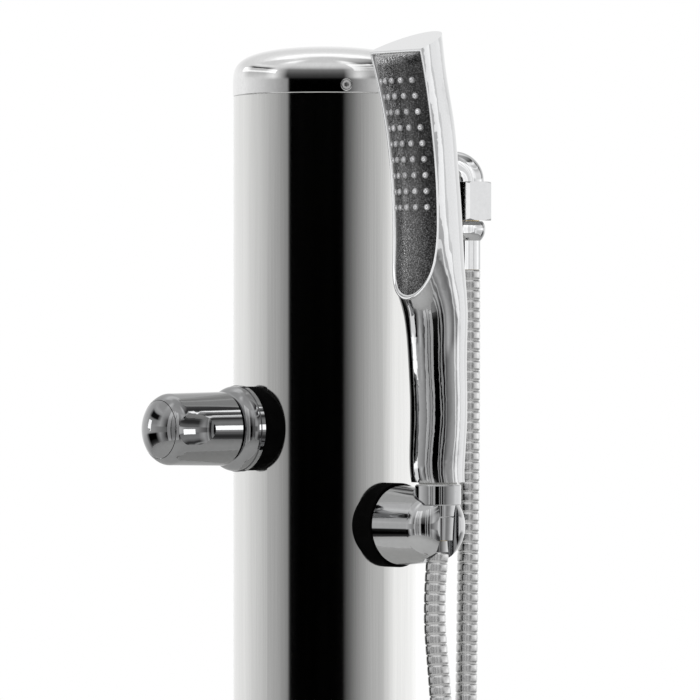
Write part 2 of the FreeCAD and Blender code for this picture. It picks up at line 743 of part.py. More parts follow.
def tap_moving_disc():
    """The disc that the spindle turns."""
    return placed(ceramic_disc(tap_seat() + DISC_THICK + DISC_GAP), TAP_AZIMUTH, TAP_HEIGHT)


def spindle_start():
    """Where the spindle meets the moving disc."""
    return tap_seat() + 2 * DISC_THICK + 2 * DISC_GAP


def handle_start():
    """The open end of the handle's skirt, measured from the post's axis."""
    return TAP_PAD_FACE + ROSETTE_LENGTH + HANDLE_GAP


def spindle_end():
    """The outer end of the spindle, inside the handle."""
    return handle_start() + HANDLE_POCKET + SPINDLE_IN_HANDLE


def tap_spindle():
    """The spindle with the driving flange on the disc, the ring groove and the screw hole."""
    start, end = spindle_start(), spindle_end()
    flange, flange_end = DISC_RADIUS - SPINDLE_FLANGE_INSET, start + SPINDLE_FLANGE
    groove, groove_end = start + SEAL_FROM_DISC, start + SEAL_FROM_DISC + 2 * (SEAL_SECTION + FIT)
    bottom = SPINDLE_RADIUS - SEAL_GROOVE_DEPTH
    spindle = turned(
        OUT, (start, 0), (start, flange), (flange_end, flange), (flange_end, SPINDLE_RADIUS),
        (groove, SPINDLE_RADIUS), (groove, bottom), (groove_end, bottom), (groove_end, SPINDLE_RADIUS),
        (end - SPINDLE_CHAMFER, SPINDLE_RADIUS), (end, SPINDLE_RADIUS - SPINDLE_CHAMFER), (end, 0),
    )
    spindle = spindle.cut(rod(HANDLE_SCREW_RADIUS, end - SPINDLE_TAPPING, end + OVERCUT))
    return placed(spindle, TAP_AZIMUTH, TAP_HEIGHT)


def tap_spindle_seal():
    """The ring in the spindle's groove."""
    middle = spindle_start() + SEAL_FROM_DISC + SEAL_SECTION + FIT
    seal = Part.makeTorus(SEAL_RADIUS, SEAL_SECTION, OUT * middle, OUT)
    return placed(seal, TAP_AZIMUTH, TAP_HEIGHT)


def handle_dome():
    """The handle's domed end: a crown of one radius that runs smoothly into a rounded corner."""
    base = handle_start() + HANDLE_BARREL
    tip = base + HANDLE_DOME_RISE
    corner, inset = HANDLE_DOME_CORNER, HANDLE_END_RADIUS - HANDLE_DOME_CORNER
    crown = (inset ** 2 + HANDLE_DOME_RISE ** 2 - corner ** 2) / (2 * (HANDLE_DOME_RISE - corner))
    centre = tip - crown
    lean = math.atan2(inset, base - centre)
    join = (centre + crown * math.cos(lean), crown * math.sin(lean))
    turn = (math.pi / 2 + lean) / 2
    corner_mid = (base + corner * math.cos(turn), inset + corner * math.sin(turn))
    crown_mid = (centre + crown * math.cos(lean / 2), crown * math.sin(lean / 2))
    return base, tip, centre, crown, join, corner_mid, crown_mid


def handle_blank():
    """The handle's outer form, solid."""
    start = handle_start()
    base, tip, _, _, join, corner_mid, crown_mid = handle_dome()
    return turned(
        OUT, (start, 0), (start, HANDLE_SKIRT_RADIUS - HANDLE_CHAMFER),
        (start + HANDLE_CHAMFER, HANDLE_SKIRT_RADIUS), (base, HANDLE_END_RADIUS), (corner_mid, join),
        (crown_mid, (tip, 0)),
    )


def finger_scoops():
    """Finger scoops round the handle: trough cuts that end round towards the skirt."""
    near = handle_start() + SCOOP_FROM_SKIRT
    far = handle_start() + SCOOP_TO_SKIRT
    offset = HANDLE_SKIRT_RADIUS + SCOOP_RADIUS - SCOOP_DEPTH
    cutters = []
    for k in range(SCOOP_COUNT):
        angle = math.radians(SCOOP_TURN + 360 / SCOOP_COUNT * k)
        spot = FreeCAD.Vector(0, math.cos(angle), math.sin(angle)) * offset
        end = spot + OUT * (near + math.sqrt(SCOOP_RADIUS ** 2 - (SCOOP_RADIUS - SCOOP_DEPTH) ** 2))
        trough = rod(SCOOP_RADIUS, end.x, far, OUT, FreeCAD.Vector(0, spot.y, spot.z))
        cutters.append(trough)
        cutters.append(Part.makeSphere(SCOOP_RADIUS, end))
        cutters.append(Part.makeSphere(SCOOP_RADIUS, FreeCAD.Vector(far, spot.y, spot.z)))
    return cutters


def tap_handle():
    """The handle: skirt pocket over the rosette's neck, spindle bore, screw recess and button seat."""
    start = handle_start()
    _, tip, _, _, _, _, _ = handle_dome()
    handle = handle_blank()
    for cutter in finger_scoops():
        handle = handle.cut(cutter)
    pocket_radius = ROSETTE_NECK_RADIUS + HANDLE_POCKET_GAP
    handle = handle.cut(rod(pocket_radius, start - OVERCUT, start + HANDLE_POCKET))
    handle = handle.cut(rod(SPINDLE_RADIUS, start, spindle_end()))
    handle = handle.cut(rod(HANDLE_SCREW_RADIUS, start, tip))
    handle = handle.cut(rod(HANDLE_SCREW_HEAD + HANDLE_SCREW_HEAD_GAP, spindle_end() + HANDLE_WEB, tip))
    handle = handle.cut(rod(BUTTON_RADIUS, button_seat(), tip + OVERCUT))
    return placed(handle, TAP_AZIMUTH, TAP_HEIGHT)


def button_seat():
    """The flat that the index button rests on."""
    _, _, centre, crown, _, _, _ = handle_dome()
    return centre + math.sqrt(crown ** 2 - BUTTON_RADIUS ** 2) - BUTTON_SINK


def tap_index_cap():
    """The domed button that closes the end of the handle."""
    radius = BUTTON_RADIUS - BUTTON_GAP
    _, tip, centre, crown, _, _, _ = handle_dome()
    edge = centre + math.sqrt(crown ** 2 - radius ** 2)
    middle = centre + math.sqrt(crown ** 2 - radius ** 2 / 4)
    seat = button_seat()
    button = turned(OUT, (seat, 0), (seat, radius), (edge, radius), ((middle, radius / 2), (tip, 0)))
    plug = rod(HANDLE_SCREW_HEAD, seat - BUTTON_PLUG, seat + BUTTON_SINK / 2)
    return placed(fused(button, plug), TAP_AZIMUTH, TAP_HEIGHT)


def tap_handle_screw():
    """The screw through the handle into the spindle."""
    seat = spindle_end() + HANDLE_WEB
    head = seat + HANDLE_SCREW_HEAD_THICK
    screw = fused(
        rod(HANDLE_SCREW_RADIUS, spindle_end() - HANDLE_SCREW_BITE, seat),
        rod(HANDLE_SCREW_HEAD, seat, head),
    )
    screw = screw.cut(hexagon(HANDLE_SCREW_KEY, head - HANDLE_SCREW_KEY_DEPTH, head + OVERCUT))
    return placed(screw, TAP_AZIMUTH, TAP_HEIGHT)


# Holder

def holder_gasket():
    """The thick black saddle between the tube and the holder."""
    pad = saddle(HOLDER_PAD_RADIUS, HOLDER_BOLT_RADIUS, HOLDER_PAD_FACE)
    return placed(pad, HOLDER_AZIMUTH, HOLDER_HEIGHT)


def cone_bore(clearance):
    """The conical seat and the straight way below it, on the cone's own axis."""
    top, end = CONE_TOP_RADIUS + clearance, CONE_END_RADIUS + clearance
    top_z, end_z = COLLAR_FOOT - HOLDER_HEIGHT, CONE_FOOT - HOLDER_HEIGHT
    low, high = -HOLDER_CUT, top_z + HOLDER_CUT
    bore = turned(UP, (low, 0), (low, end), (end_z, end), (top_z, top), (high, top), (high, 0))
    bore.translate(OUT * CONE_REACH)
    return bore


def holder_body():
    """The chromed body: a tapered bar with a rounded nose, the cone socket and the slot for the hose."""
    root = HOLDER_PAD_FACE
    taper_end = root + HOLDER_TAPER
    nose = taper_end + HOLDER_NOSE
    round_at = taper_end + HOLDER_NOSE * HOLDER_NOSE_ROUND_AT
    round_middle = (round_at, HOLDER_TIP_RADIUS - HOLDER_NOSE_ROUND_DROP)
    body = turned(
        OUT, (root, 0), (root, HOLDER_ROOT_RADIUS), (taper_end, HOLDER_TIP_RADIUS),
        (round_middle, (nose, HOLDER_NOSE_FACE)), (nose, 0),
    )
    spot = rod(HOLDER_SPOT_RADIUS, HOLDER_SPOT_RISE, HOLDER_CUT, UP, OUT * CONE_REACH)
    front = Part.makeBox(HOLDER_CUT, 2 * HOLDER_SPOT_RADIUS, HOLDER_CUT, FreeCAD.Vector(
        CONE_REACH, -HOLDER_SPOT_RADIUS, HOLDER_SPOT_RISE))
    slot = Part.makeBox(HOLDER_CUT, HOLDER_SLOT, 2 * HOLDER_CUT, FreeCAD.Vector(
        CONE_REACH, -HOLDER_SLOT / 2, -HOLDER_CUT))
    body = body.cut([spot, front, slot, cone_bore(FIT)])
    body = body.cut(rod(HOLDER_BOLT_RADIUS, root, root + HOLDER_BOLT_DEPTH))
    return placed(body, HOLDER_AZIMUTH, HOLDER_HEIGHT)


def holder_washer():
    """The washer inside the tube, curved to it on one side and flat on the other."""
    flat = POST_BORE - HOLDER_WASHER_THICK
    washer = ring(HOLDER_WASHER_RADIUS, HOLDER_BOLT_RADIUS, flat, POST_BORE)
    return placed(washer.common(post_cylinder(POST_BORE)), HOLDER_AZIMUTH, HOLDER_HEIGHT)


def holder_bolt():
    """The bolt from inside the tube into the holder."""
    flat = POST_BORE - HOLDER_WASHER_THICK
    bolt = fused(
        rod(HOLDER_BOLT_RADIUS, flat, HOLDER_PAD_FACE + HOLDER_BOLT_DEPTH),
        hexagon(HOLDER_BOLT_HEX, flat - HOLDER_BOLT_HEAD, flat),
    )
    return placed(bolt, HOLDER_AZIMUTH, HOLDER_HEIGHT)


# Outlet

def outlet_elbow():
    """The elbow: threaded through the wall, a flange on its gasket, a bend and a threaded end below."""
    drop = OUTLET_THREAD_DROP + OUTLET_THREAD_LENGTH - HOSE_NUT_DROP
    points = [(FITTING_END, 0, 0), (OUTLET_REACH, 0, 0), (OUTLET_REACH, 0, -drop)]
    path, _ = bent_path(points, radius=OUTLET_BEND)
    corner = OUT * OUTLET_REACH
    flange_end = SMALL_PAD_FACE + OUTLET_FLANGE_THICK
    flange = turned(
        OUT, (SMALL_PAD_FACE, 0), (SMALL_PAD_FACE, OUTLET_FLANGE_RADIUS),
        (flange_end - OUTLET_FLANGE_EDGE, OUTLET_FLANGE_RADIUS),
        (flange_end, OUTLET_FLANGE_RADIUS - OUTLET_FLANGE_EDGE), (flange_end, 0),
    )
    elbow = fused(
        swept_rod(path, OUTLET_RADIUS),
        rod(THREAD_RADIUS, FITTING_END, SMALL_PAD_FACE),
        flange,
        rod(THREAD_RADIUS, -drop, -drop + OUTLET_THREAD_LENGTH, UP, corner),
    )
    elbow = elbow.cut(swept_rod(path, OUTLET_BORE))
    elbow = elbow.cut(rod(PIPE_RADIUS, FITTING_END, FITTING_END + PIPE_SOCKET))
    return placed(elbow, OUTLET_AZIMUTH, OUTLET_HEIGHT)


def outlet_thread_end():
    """The height of the elbow's lower end."""
    return OUTLET_HEIGHT - (OUTLET_THREAD_DROP + OUTLET_THREAD_LENGTH - HOSE_NUT_DROP)


def at_outlet(shape, turn=0.0):
    """Moves an upright piece to the outlet's hose axis."""
    return stood(shape, OUTLET_REACH, 0.0, turn)


def outlet_gasket():
    """The rubber saddle under the elbow's flange."""
    pad = saddle(OUTLET_FLANGE_RADIUS, THREAD_RADIUS, SMALL_PAD_FACE)
    return placed(pad, OUTLET_AZIMUTH, OUTLET_HEIGHT)


def outlet_washer():
    """The flat seal between the elbow and the hose's tail."""
    end = outlet_thread_end()
    return at_outlet(ring(TAIL_FLANGE_RADIUS, TAIL_BORE, end - WASHER_THICK, end, UP))


def hose_outlet_tail():
    """The tail at the fixed end: the nut draws up its flange, its stem runs into the hose's sleeve."""
    top = outlet_thread_end() - WASHER_THICK
    tail = turned(
        UP, (top, TAIL_BORE), (top, TAIL_FLANGE_RADIUS), (top - TAIL_FLANGE_THICK, TAIL_FLANGE_RADIUS),
        (top - TAIL_FLANGE_THICK, TAIL_RADIUS), (HOSE_TOP, TAIL_RADIUS), (HOSE_TOP, TAIL_BORE),
    )
    return at_outlet(tail)


def hose_outlet_nut():
    """The union nut at the fixed end."""
    seat = outlet_thread_end() - WASHER_THICK - TAIL_FLANGE_THICK
    nut = hexagon(HOSE_NUT_HEX, OUTLET_NUT_FOOT, OUTLET_NUT_TOP, UP)
    nut = nut.cut(rod(THREAD_RADIUS, seat, OUTLET_NUT_TOP + OVERCUT, UP))
    nut = nut.cut(rod(TAIL_RADIUS + FIT, OUTLET_NUT_FOOT - OVERCUT, seat + OVERCUT, UP))
    return at_outlet(nut, HOSE_NUT_TURN)


def hose_outlet_sleeve():
    """The crimped sleeve at the fixed end, with a round shoulder under the nut."""
    top = OUTLET_NUT_FOOT - BELL_GAP
    shoulder = top - BELL_LENGTH * BELL_SHOULDER_SHARE
    round_middle = (top - BELL_ROUND_DROP, BELL_RADIUS - BELL_ROUND_INSET)
    skirt_middle = (shoulder - BELL_SKIRT_DROP, BELL_RADIUS - BELL_SKIRT_INSET)
    sleeve = turned(
        UP, (top, TAIL_RADIUS), (top, BELL_RADIUS - BELL_TOP_INSET),
        (round_middle, (shoulder, BELL_RADIUS)), (skirt_middle, (BELL_FOOT, HOSE_RADIUS)),
        (HOSE_TOP, HOSE_RADIUS), (HOSE_TOP, TAIL_RADIUS),
    )
    return at_outlet(sleeve)


# Hose and its end in the holder

def path_point(path, distance):
    """The point and the direction of a path at a distance along it."""
    left = min(max(distance, 0.0), path.Length)
    for edge in path.OrderedEdges:
        if left <= edge.Length or edge.isSame(path.OrderedEdges[-1]):
            place = edge.getParameterByLength(min(left, edge.Length))
            return edge.valueAt(place), edge.tangentAt(place)
        left -= edge.Length


def path_circle(path, distance, radius):
    """A circle square to a path whose own X axis stays as near the post's X axis as it can."""
    point, tangent = path_point(path, distance)
    side = tangent.cross(OUT)
    steady = side.cross(tangent)
    circle = Part.makeCircle(radius)
    circle.Placement = FreeCAD.Placement(point, FreeCAD.Rotation(steady, side, tangent, "ZXY"))
    return Part.Wire(circle)


def hose():
    """The ribbed hose with its bore: ribs between two plain ends, one hose diameter long each."""
    path, radii = bent_path(HOSE_ROUTE, share=HOSE_ARC_SHARE)
    pitch = (path.Length - 2 * HOSE_PLAIN_END) / HOSE_RIB_COUNT
    circles = [(0.0, HOSE_RADIUS), (HOSE_PLAIN_END, HOSE_RADIUS)]
    for rib in range(HOSE_RIB_COUNT):
        for share, in_groove in HOSE_RIB_STEPS:
            radius = HOSE_RADIUS - HOSE_RIB_DEPTH if in_groove else HOSE_RADIUS
            circles.append((HOSE_PLAIN_END + (rib + share) * pitch, radius))
    circles.append((path.Length, HOSE_RADIUS))
    outside = Part.makeLoft([path_circle(path, place, radius) for place, radius in circles], True, True)
    places = [HOSE_PLAIN_END + rib * pitch for rib in range(0, HOSE_RIB_COUNT + 1, HOSE_BORE_STEP)]
    places = [0.0] + places + [path.Length]
    bore = Part.makeLoft([path_circle(path, place, HOSE_BORE) for place in places], True, True)
    tube = outside.cut(bore)
    plain_volume = math.pi * (HOSE_RADIUS ** 2 - HOSE_BORE ** 2) * path.Length
    print("hose length %.1f, volume against a plain tube %.3f" % (path.Length, tube.Volume / plain_volume))
    print("hose rib pitch %.2f, radii" % pitch, " ".join("%.0f" % r for r in radii))
    return tube


def at_cone(shape):
    """Moves an upright piece to the holder's cone axis."""
    return stood(shape, CONE_X, CONE_Y)


def hose_cone_nut():
    """The conical nut: a collar with the thread for the handset, a taper that stands in the holder."""
    groove = COLLAR_FOOT - CONE_GROOVE_DROP

    def taper(z):
        return CONE_END_RADIUS + (CONE_TOP_RADIUS - CONE_END_RADIUS) * (z - CONE_FOOT) / CONE_LENGTH

    nut = turned(
        UP, (COLLAR_TOP, THREAD_RADIUS), (COLLAR_TOP, CONE_COLLAR_RADIUS - CONE_COLLAR_CHAMFER),
        (COLLAR_TOP - CONE_COLLAR_CHAMFER, CONE_COLLAR_RADIUS),
        (COLLAR_FOOT + CONE_COLLAR_EDGE, CONE_COLLAR_RADIUS),
        (COLLAR_FOOT, CONE_COLLAR_RADIUS - CONE_COLLAR_EDGE), (COLLAR_FOOT, CONE_TOP_RADIUS),
        (groove + CONE_GROOVE, taper(groove + CONE_GROOVE)), (groove, taper(groove) - CONE_GROOVE),
        (groove - CONE_GROOVE, taper(groove - CONE_GROOVE)),
        (CONE_FOOT, CONE_END_RADIUS), (CONE_FOOT, TAIL_RADIUS + FIT), (TAIL_SEAT, TAIL_RADIUS + FIT),
        (TAIL_SEAT, THREAD_RADIUS),
    )
    return at_cone(nut)


def hose_tail():
    """The tail in the cone nut, which stays with the hose while the nut turns round it."""
    top = TAIL_SEAT + FIT + TAIL_FLANGE_THICK
    tail = turned(
        UP, (top, TAIL_BORE), (top, TAIL_FLANGE_RADIUS), (TAIL_SEAT + FIT, TAIL_FLANGE_RADIUS),
        (TAIL_SEAT + FIT, TAIL_RADIUS), (SLEEVE_FOOT, TAIL_RADIUS), (SLEEVE_FOOT, TAIL_BORE),
    )
    return at_cone(tail)


def hose_sleeve():
    """The crimped sleeve at the handset's end."""
    return at_cone(ring(HOSE_RADIUS, TAIL_RADIUS, SLEEVE_FOOT, SLEEVE_TOP, UP))


# Handset, drawn from its foot up with its face towards local +X

def handset_form(inset):
    """The handset's body as a loft through ellipses, each drawn in by the same amount."""
    wires = []
    for rise, front, width, depth in HANDSET_SECTIONS:
        centre = FreeCAD.Vector(front, 0, rise)
        front_point = centre + FreeCAD.Vector(depth - inset, 0, 0)
        side_point = centre + FreeCAD.Vector(0, width - inset, 0)
        ellipse = Part.Ellipse(front_point, side_point, centre)
        wires.append(Part.Wire(ellipse.toShape()))
    return Part.makeLoft(wires, True, False)


def face_point(rise, depth):
    """A point of the scooped face, drawn back into the handset by a depth."""
    drop = rise - FACE_WAIST_RISE
    radius = FACE_UPPER_RADIUS if drop >= 0 else FACE_LOWER_RADIUS
    return (FACE_WAIST + radius - math.sqrt((radius + depth) ** 2 - drop ** 2), rise)


def before_face(depth):
    """Everything in front of the scooped face, drawn back by a depth."""
    low, high = FACE_WAIST_RISE - FACE_CUT_BELOW, FACE_WAIST_RISE + FACE_CUT_ABOVE
    waist = face_point(FACE_WAIST_RISE, depth)
    return side_profile(
        HANDSET_CUT_WIDTH, face_point(low, depth), (face_point((low + waist[1]) / 2, depth), waist),
        (face_point((high + waist[1]) / 2, depth), face_point(high, depth)),
        (HANDSET_CUT_FRONT, high), (HANDSET_CUT_FRONT, low),
    )


def above_top(depth):
    """Everything above the slanted top, drawn down by a depth."""
    slope = math.radians(HANDSET_TOP_SLOPE)
    drop = depth / math.cos(slope)

    def top(x):
        return HANDSET_TOP_RISE + (HANDSET_TOP_FRONT - x) * math.tan(slope) - drop

    front, back, high = HANDSET_CUT_FRONT, HANDSET_CUT_BACK, HANDSET_CUT_RISE
    corners = (front, top(front)), (front, high), (back, high), (back, top(back))
    return side_profile(HANDSET_CUT_WIDTH, *corners)


def above(rise):
    """Everything above a level in the handset."""
    width, corner = HANDSET_CUT_WIDTH, FreeCAD.Vector(HANDSET_CUT_BACK, -HANDSET_CUT_WIDTH / 2, rise)
    return Part.makeBox(HANDSET_CUT_FRONT - HANDSET_CUT_BACK, width, HANDSET_CUT_RISE, corner)


def at_handset(shape):
    """Stands a handset piece over the cone nut and turns it to its azimuth."""
    return placed(shape, HANDSET_AZIMUTH, HANDSET_FOOT, CONE_X, CONE_Y)


def handset_shell():
    """The chromed shell, hollow, with its scooped face, its slanted top and the spray plate's window."""
    plate_back = FACE_RECESS + FACE_THICK
    outer = handset_form(0.0).cut([before_face(0.0), above_top(0.0)])
    cavity = handset_form(HANDSET_WALL).cut([before_face(plate_back), above_top(HANDSET_WALL)])
    window = handset_form(HANDSET_RIM).common(before_face(plate_back)).cut(above_top(HANDSET_RIM))
    return at_handset(outer.cut([cavity, window]))


def face_layer(front, back, inset, foot=None):
    """A layer of the handset behind its face, between two depths and drawn in at the sides."""
    layer = handset_form(inset).common(before_face(back)).cut([before_face(front), above_top(inset)])
    return layer.common(above(foot)) if foot is not None else layer


def nozzle_spots():
    """The foot and the direction of every nozzle, on the back of the plate."""
    centre = FreeCAD.Vector(FACE_WAIST + FACE_UPPER_RADIUS, 0, FACE_WAIST_RISE)
    for row in range(NOZZLE_ROWS):
        lean = (NOZZLE_FIRST_ROW + row * NOZZLE_ROW_PITCH) / FACE_UPPER_RADIUS
        forward = FreeCAD.Vector(math.cos(lean), 0, -math.sin(lean))
        foot = centre - forward * (FACE_UPPER_RADIUS + FACE_RECESS + FACE_THICK)
        for column in range(NOZZLE_COLUMNS):
            side = (column - (NOZZLE_COLUMNS - 1) / 2) * NOZZLE_COLUMN_PITCH
            yield foot + FreeCAD.Vector(0, side, 0), forward


def handset_face():
    """The dark spray plate with a hole for each nozzle."""
    plate = face_layer(FACE_RECESS, FACE_RECESS + FACE_THICK, HANDSET_RIM + FACE_CLEARANCE)
    holes = [
        Part.makeCylinder(NOZZLE_BASE_RADIUS + FIT, 3 * FACE_THICK, foot - forward * FACE_THICK, forward)
        for foot, forward in nozzle_spots()
    ]
    return at_handset(plate.cut(holes))


def handset_nozzles():
    """The rubber mat with its nozzles standing through the plate."""
    back = FACE_RECESS + FACE_THICK
    mat = face_layer(back, back + MAT_THICK, HANDSET_WALL + MAT_CLEARANCE, TRAY_FOOT)
    height = MAT_THICK / 2 + FACE_THICK + NOZZLE_STAND
    nozzles = []
    for foot, forward in nozzle_spots():
        start = foot - forward * MAT_THICK / 2
        nozzles.append(Part.makeCone(NOZZLE_BASE_RADIUS, NOZZLE_TIP_RADIUS, height, start, forward))
    return at_handset(mat.fuse(nozzles))


def handset_chamber():
    """The tray behind the mat that the water spreads in."""
    front = FACE_RECESS + FACE_THICK + MAT_THICK
    inset = HANDSET_WALL + MAT_CLEARANCE
    tray = face_layer(front, front + TRAY_DEPTH, inset, TRAY_FOOT)
    back, floor = front + TRAY_DEPTH - TRAY_WALL, TRAY_FOOT + TRAY_WALL
    hollow = face_layer(front - TRAY_OVERLAP, back, inset + TRAY_WALL, floor)
    inlet = rod(WATER_TUBE_RADIUS - WATER_TUBE_WALL, TRAY_FOOT - OVERCUT, floor + OVERCUT, UP, tray_port())
    return at_handset(tray.cut([hollow, inlet]))


def tray_port():
    """The point where the water tube meets the tray, at height zero."""
    front, _ = face_point(TRAY_FOOT, FACE_RECESS + FACE_THICK + MAT_THICK + TRAY_DEPTH / 2)
    return FreeCAD.Vector(front, 0, 0)


def handset_water_tube():
    """The tube from the nipple up to the tray."""
    port = tray_port()
    points = [
        (0, 0, HANDSET_NIPPLE_FLANGE - WATER_TUBE_SOCKET), (0, 0, TRAY_FOOT - WATER_TUBE_STEP_FAR),
        (port.x, 0, TRAY_FOOT - WATER_TUBE_STEP_NEAR), (port.x, 0, TRAY_FOOT),
    ]
    path, _ = bent_path(points, radius=WATER_TUBE_BEND)
    return at_handset(swept_tube(path, WATER_TUBE_RADIUS, WATER_TUBE_RADIUS - WATER_TUBE_WALL))


def handset_nipple():
    """The threaded inlet, glued into the foot of the shell, whose inside its flange follows."""
    bore = WATER_TUBE_RADIUS - WATER_TUBE_WALL
    flange = handset_form(HANDSET_WALL + FIT).cut(above(HANDSET_NIPPLE_FLANGE))
    nipple = fused(rod(THREAD_RADIUS, -HANDSET_NIPPLE_LENGTH, 0, UP), flange)
    nipple = nipple.cut(rod(bore, -HANDSET_NIPPLE_LENGTH - OVERCUT, HANDSET_NIPPLE_FLANGE + OVERCUT, UP))
    socket_foot = HANDSET_NIPPLE_FLANGE - WATER_TUBE_SOCKET
    return at_handset(nipple.cut(rod(WATER_TUBE_RADIUS, socket_foot, HANDSET_NIPPLE_FLANGE + OVERCUT, UP)))


def handset_washer():
    """The seal between the hose's tail and the nipple."""
    start = TAIL_SEAT + FIT + TAIL_FLANGE_THICK
    end = HANDSET_FOOT - HANDSET_NIPPLE_LENGTH
    return at_cone(ring(TAIL_FLANGE_RADIUS, TAIL_BORE, start, end, UP))


PIECES = {
    "post_tube": post_tube,
    "base_flange": base_flange,
    "cap_insert": cap_insert,
    "top_cap": top_cap,
    "cap_set_screw": cap_set_screw,
    "inlet_nipple": lambda: placed(inlet_nipple(), INLET_AZIMUTH, INLET_HEIGHT),
    "inlet_gasket": lambda: placed(inlet_gasket(), INLET_AZIMUTH, INLET_HEIGHT),
    "inlet_back_nut": lambda: placed(wall_back_nut(), INLET_AZIMUTH, INLET_HEIGHT),
    "riser_lower": riser_lower,
    "riser_upper": riser_upper,
    "riser_nuts": riser_nuts,
    "tap_valve_body": tap_valve_body,
    "tap_gasket": tap_gasket,
    "tap_rosette": tap_rosette,
    "tap_cartridge": tap_cartridge,
    "tap_fixed_disc": tap_fixed_disc,
    "tap_moving_disc": tap_moving_disc,
    "tap_spindle": tap_spindle,
    "tap_spindle_seal": tap_spindle_seal,
    "tap_handle": tap_handle,
    "tap_handle_screw": tap_handle_screw,
    "tap_index_cap": tap_index_cap,
    "holder_gasket": holder_gasket,
    "holder_body": holder_body,
    "holder_bolt": holder_bolt,
    "holder_washer": holder_washer,
    "outlet_elbow": outlet_elbow,
    "outlet_gasket": outlet_gasket,
    "outlet_back_nut": lambda: placed(wall_back_nut(), OUTLET_AZIMUTH, OUTLET_HEIGHT),
    "outlet_washer": outlet_washer,
    "hose_outlet_nut": hose_outlet_nut,
    "hose_outlet_tail": hose_outlet_tail,
    "hose_outlet_sleeve": hose_outlet_sleeve,
    "hose": hose,
    "hose_sleeve": hose_sleeve,
    "hose_tail": hose_tail,
    "hose_cone_nut": hose_cone_nut,
    "handset_washer": handset_washer,
    "handset_nipple": handset_nipple,
    "handset_shell": handset_shell,
    "handset_face": handset_face,
    "handset_nozzles": handset_nozzles,
    "handset_chamber": handset_chamber,
    "handset_water_tube": handset_water_tube,
}

os.makedirs("parts", exist_ok=True)
for name, make in PIECES.items():
    piece = make()
    print("%-20s solids %d valid %s volume %.1f" % (name, len(piece.Solids), piece.isValid(), piece.Volume))
    piece.exportStep("parts/%s.step" % name)
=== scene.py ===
"""Outdoor shower post: finishes, ribbed hose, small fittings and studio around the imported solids."""
import logging
import math
from dataclasses import dataclass, field
from enum import Enum
from typing import Optional, Sequence, Union

import bpy
import numpy as np
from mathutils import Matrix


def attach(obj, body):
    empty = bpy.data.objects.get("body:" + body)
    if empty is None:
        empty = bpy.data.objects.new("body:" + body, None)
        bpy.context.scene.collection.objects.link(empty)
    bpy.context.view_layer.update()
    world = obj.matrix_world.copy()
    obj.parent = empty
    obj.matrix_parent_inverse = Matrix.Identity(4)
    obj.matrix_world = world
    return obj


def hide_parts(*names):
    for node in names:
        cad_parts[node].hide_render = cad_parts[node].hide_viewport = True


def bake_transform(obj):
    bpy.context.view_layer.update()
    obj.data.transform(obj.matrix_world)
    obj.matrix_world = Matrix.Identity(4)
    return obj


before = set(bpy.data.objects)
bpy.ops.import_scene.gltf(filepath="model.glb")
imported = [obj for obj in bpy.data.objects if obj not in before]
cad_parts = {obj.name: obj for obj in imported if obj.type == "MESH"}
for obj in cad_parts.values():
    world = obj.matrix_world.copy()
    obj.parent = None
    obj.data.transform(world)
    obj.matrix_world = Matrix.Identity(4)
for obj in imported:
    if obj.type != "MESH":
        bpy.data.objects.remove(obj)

LOG = logging.getLogger("shower_post")
MM = 0.001

# Driving sizes of the post, in millimetres, and bearings in degrees
POST_RADIUS = 50.8
FLANGE_TOP = 8.0
POST_TOP = 1150.0
CAP_BASE = 1122.2
CAP_RADIUS = 51.3
SCREW_BEARING = 13.5
SCREW_HEIGHT = 1126.6
HANDSET_BEARING = -50.0
HANDSET_FOOT = (61.4773, -63.6616, 910.4)
PHOTO_CENTRE_X = 13.8
PHOTO_CENTRE_Z = 982.0
PHOTO_WIDTH = 387.6

# Between these two sizes of the normal's upright part a relief meant for walls fades out
WALL_FADE = (0.5, 0.75)

Point = tuple[float, float, float]
Colour = tuple[float, float, float]
Array = np.ndarray
Piece = bpy.types.Object
Socket = bpy.types.NodeSocket
Feed = Union[Socket, float, Sequence[float]]


# ---- Meshes ----

def signed_volume(points: Array, corners: Array) -> float:
    """Sums the volumes between the origin and each triangle, positive where they point outwards."""
    a, b, c = (points[corners[:, k]] for k in range(3))
    return float(np.einsum("ij,ij->i", a, np.cross(b, c)).sum() / 6.0)


def unit(vectors: Array) -> Array:
    """Gives each row of an array a length of one."""
    return vectors / np.linalg.norm(vectors, axis=1, keepdims=True)


def full_turn(steps: int) -> Array:
    """Gives that many equal steps of a full circle, in radians."""
    return np.linspace(0.0, 2.0 * math.pi, steps, endpoint=False)


def rings(first: Array, second: Array, around: int) -> Array:
    """Gives a circle of radius one for each row, which runs from the first direction to the second."""
    turn = full_turn(around)[None, :, None]
    return first[:, None, :] * np.cos(turn) + second[:, None, :] * np.sin(turn)


def circles(centre: Array, ahead: Array, radius: Array, around: int) -> Array:
    """Stands a circle square to a line at each of its points, starting towards the first axis.

    Args:
        centre: The line's points, one row each.
        ahead: The line's direction at each point.
        radius: The radius at each point.
        around: Points in a circle.

    Returns:
        The circles' points, one row of points for each circle.
    """
    ahead = unit(ahead)
    first = unit(np.array([1.0, 0.0, 0.0]) - ahead * ahead[:, :1])
    ring = rings(first, np.cross(ahead, first), around)
    return centre[:, None, :] + radius[:, None, None] * ring


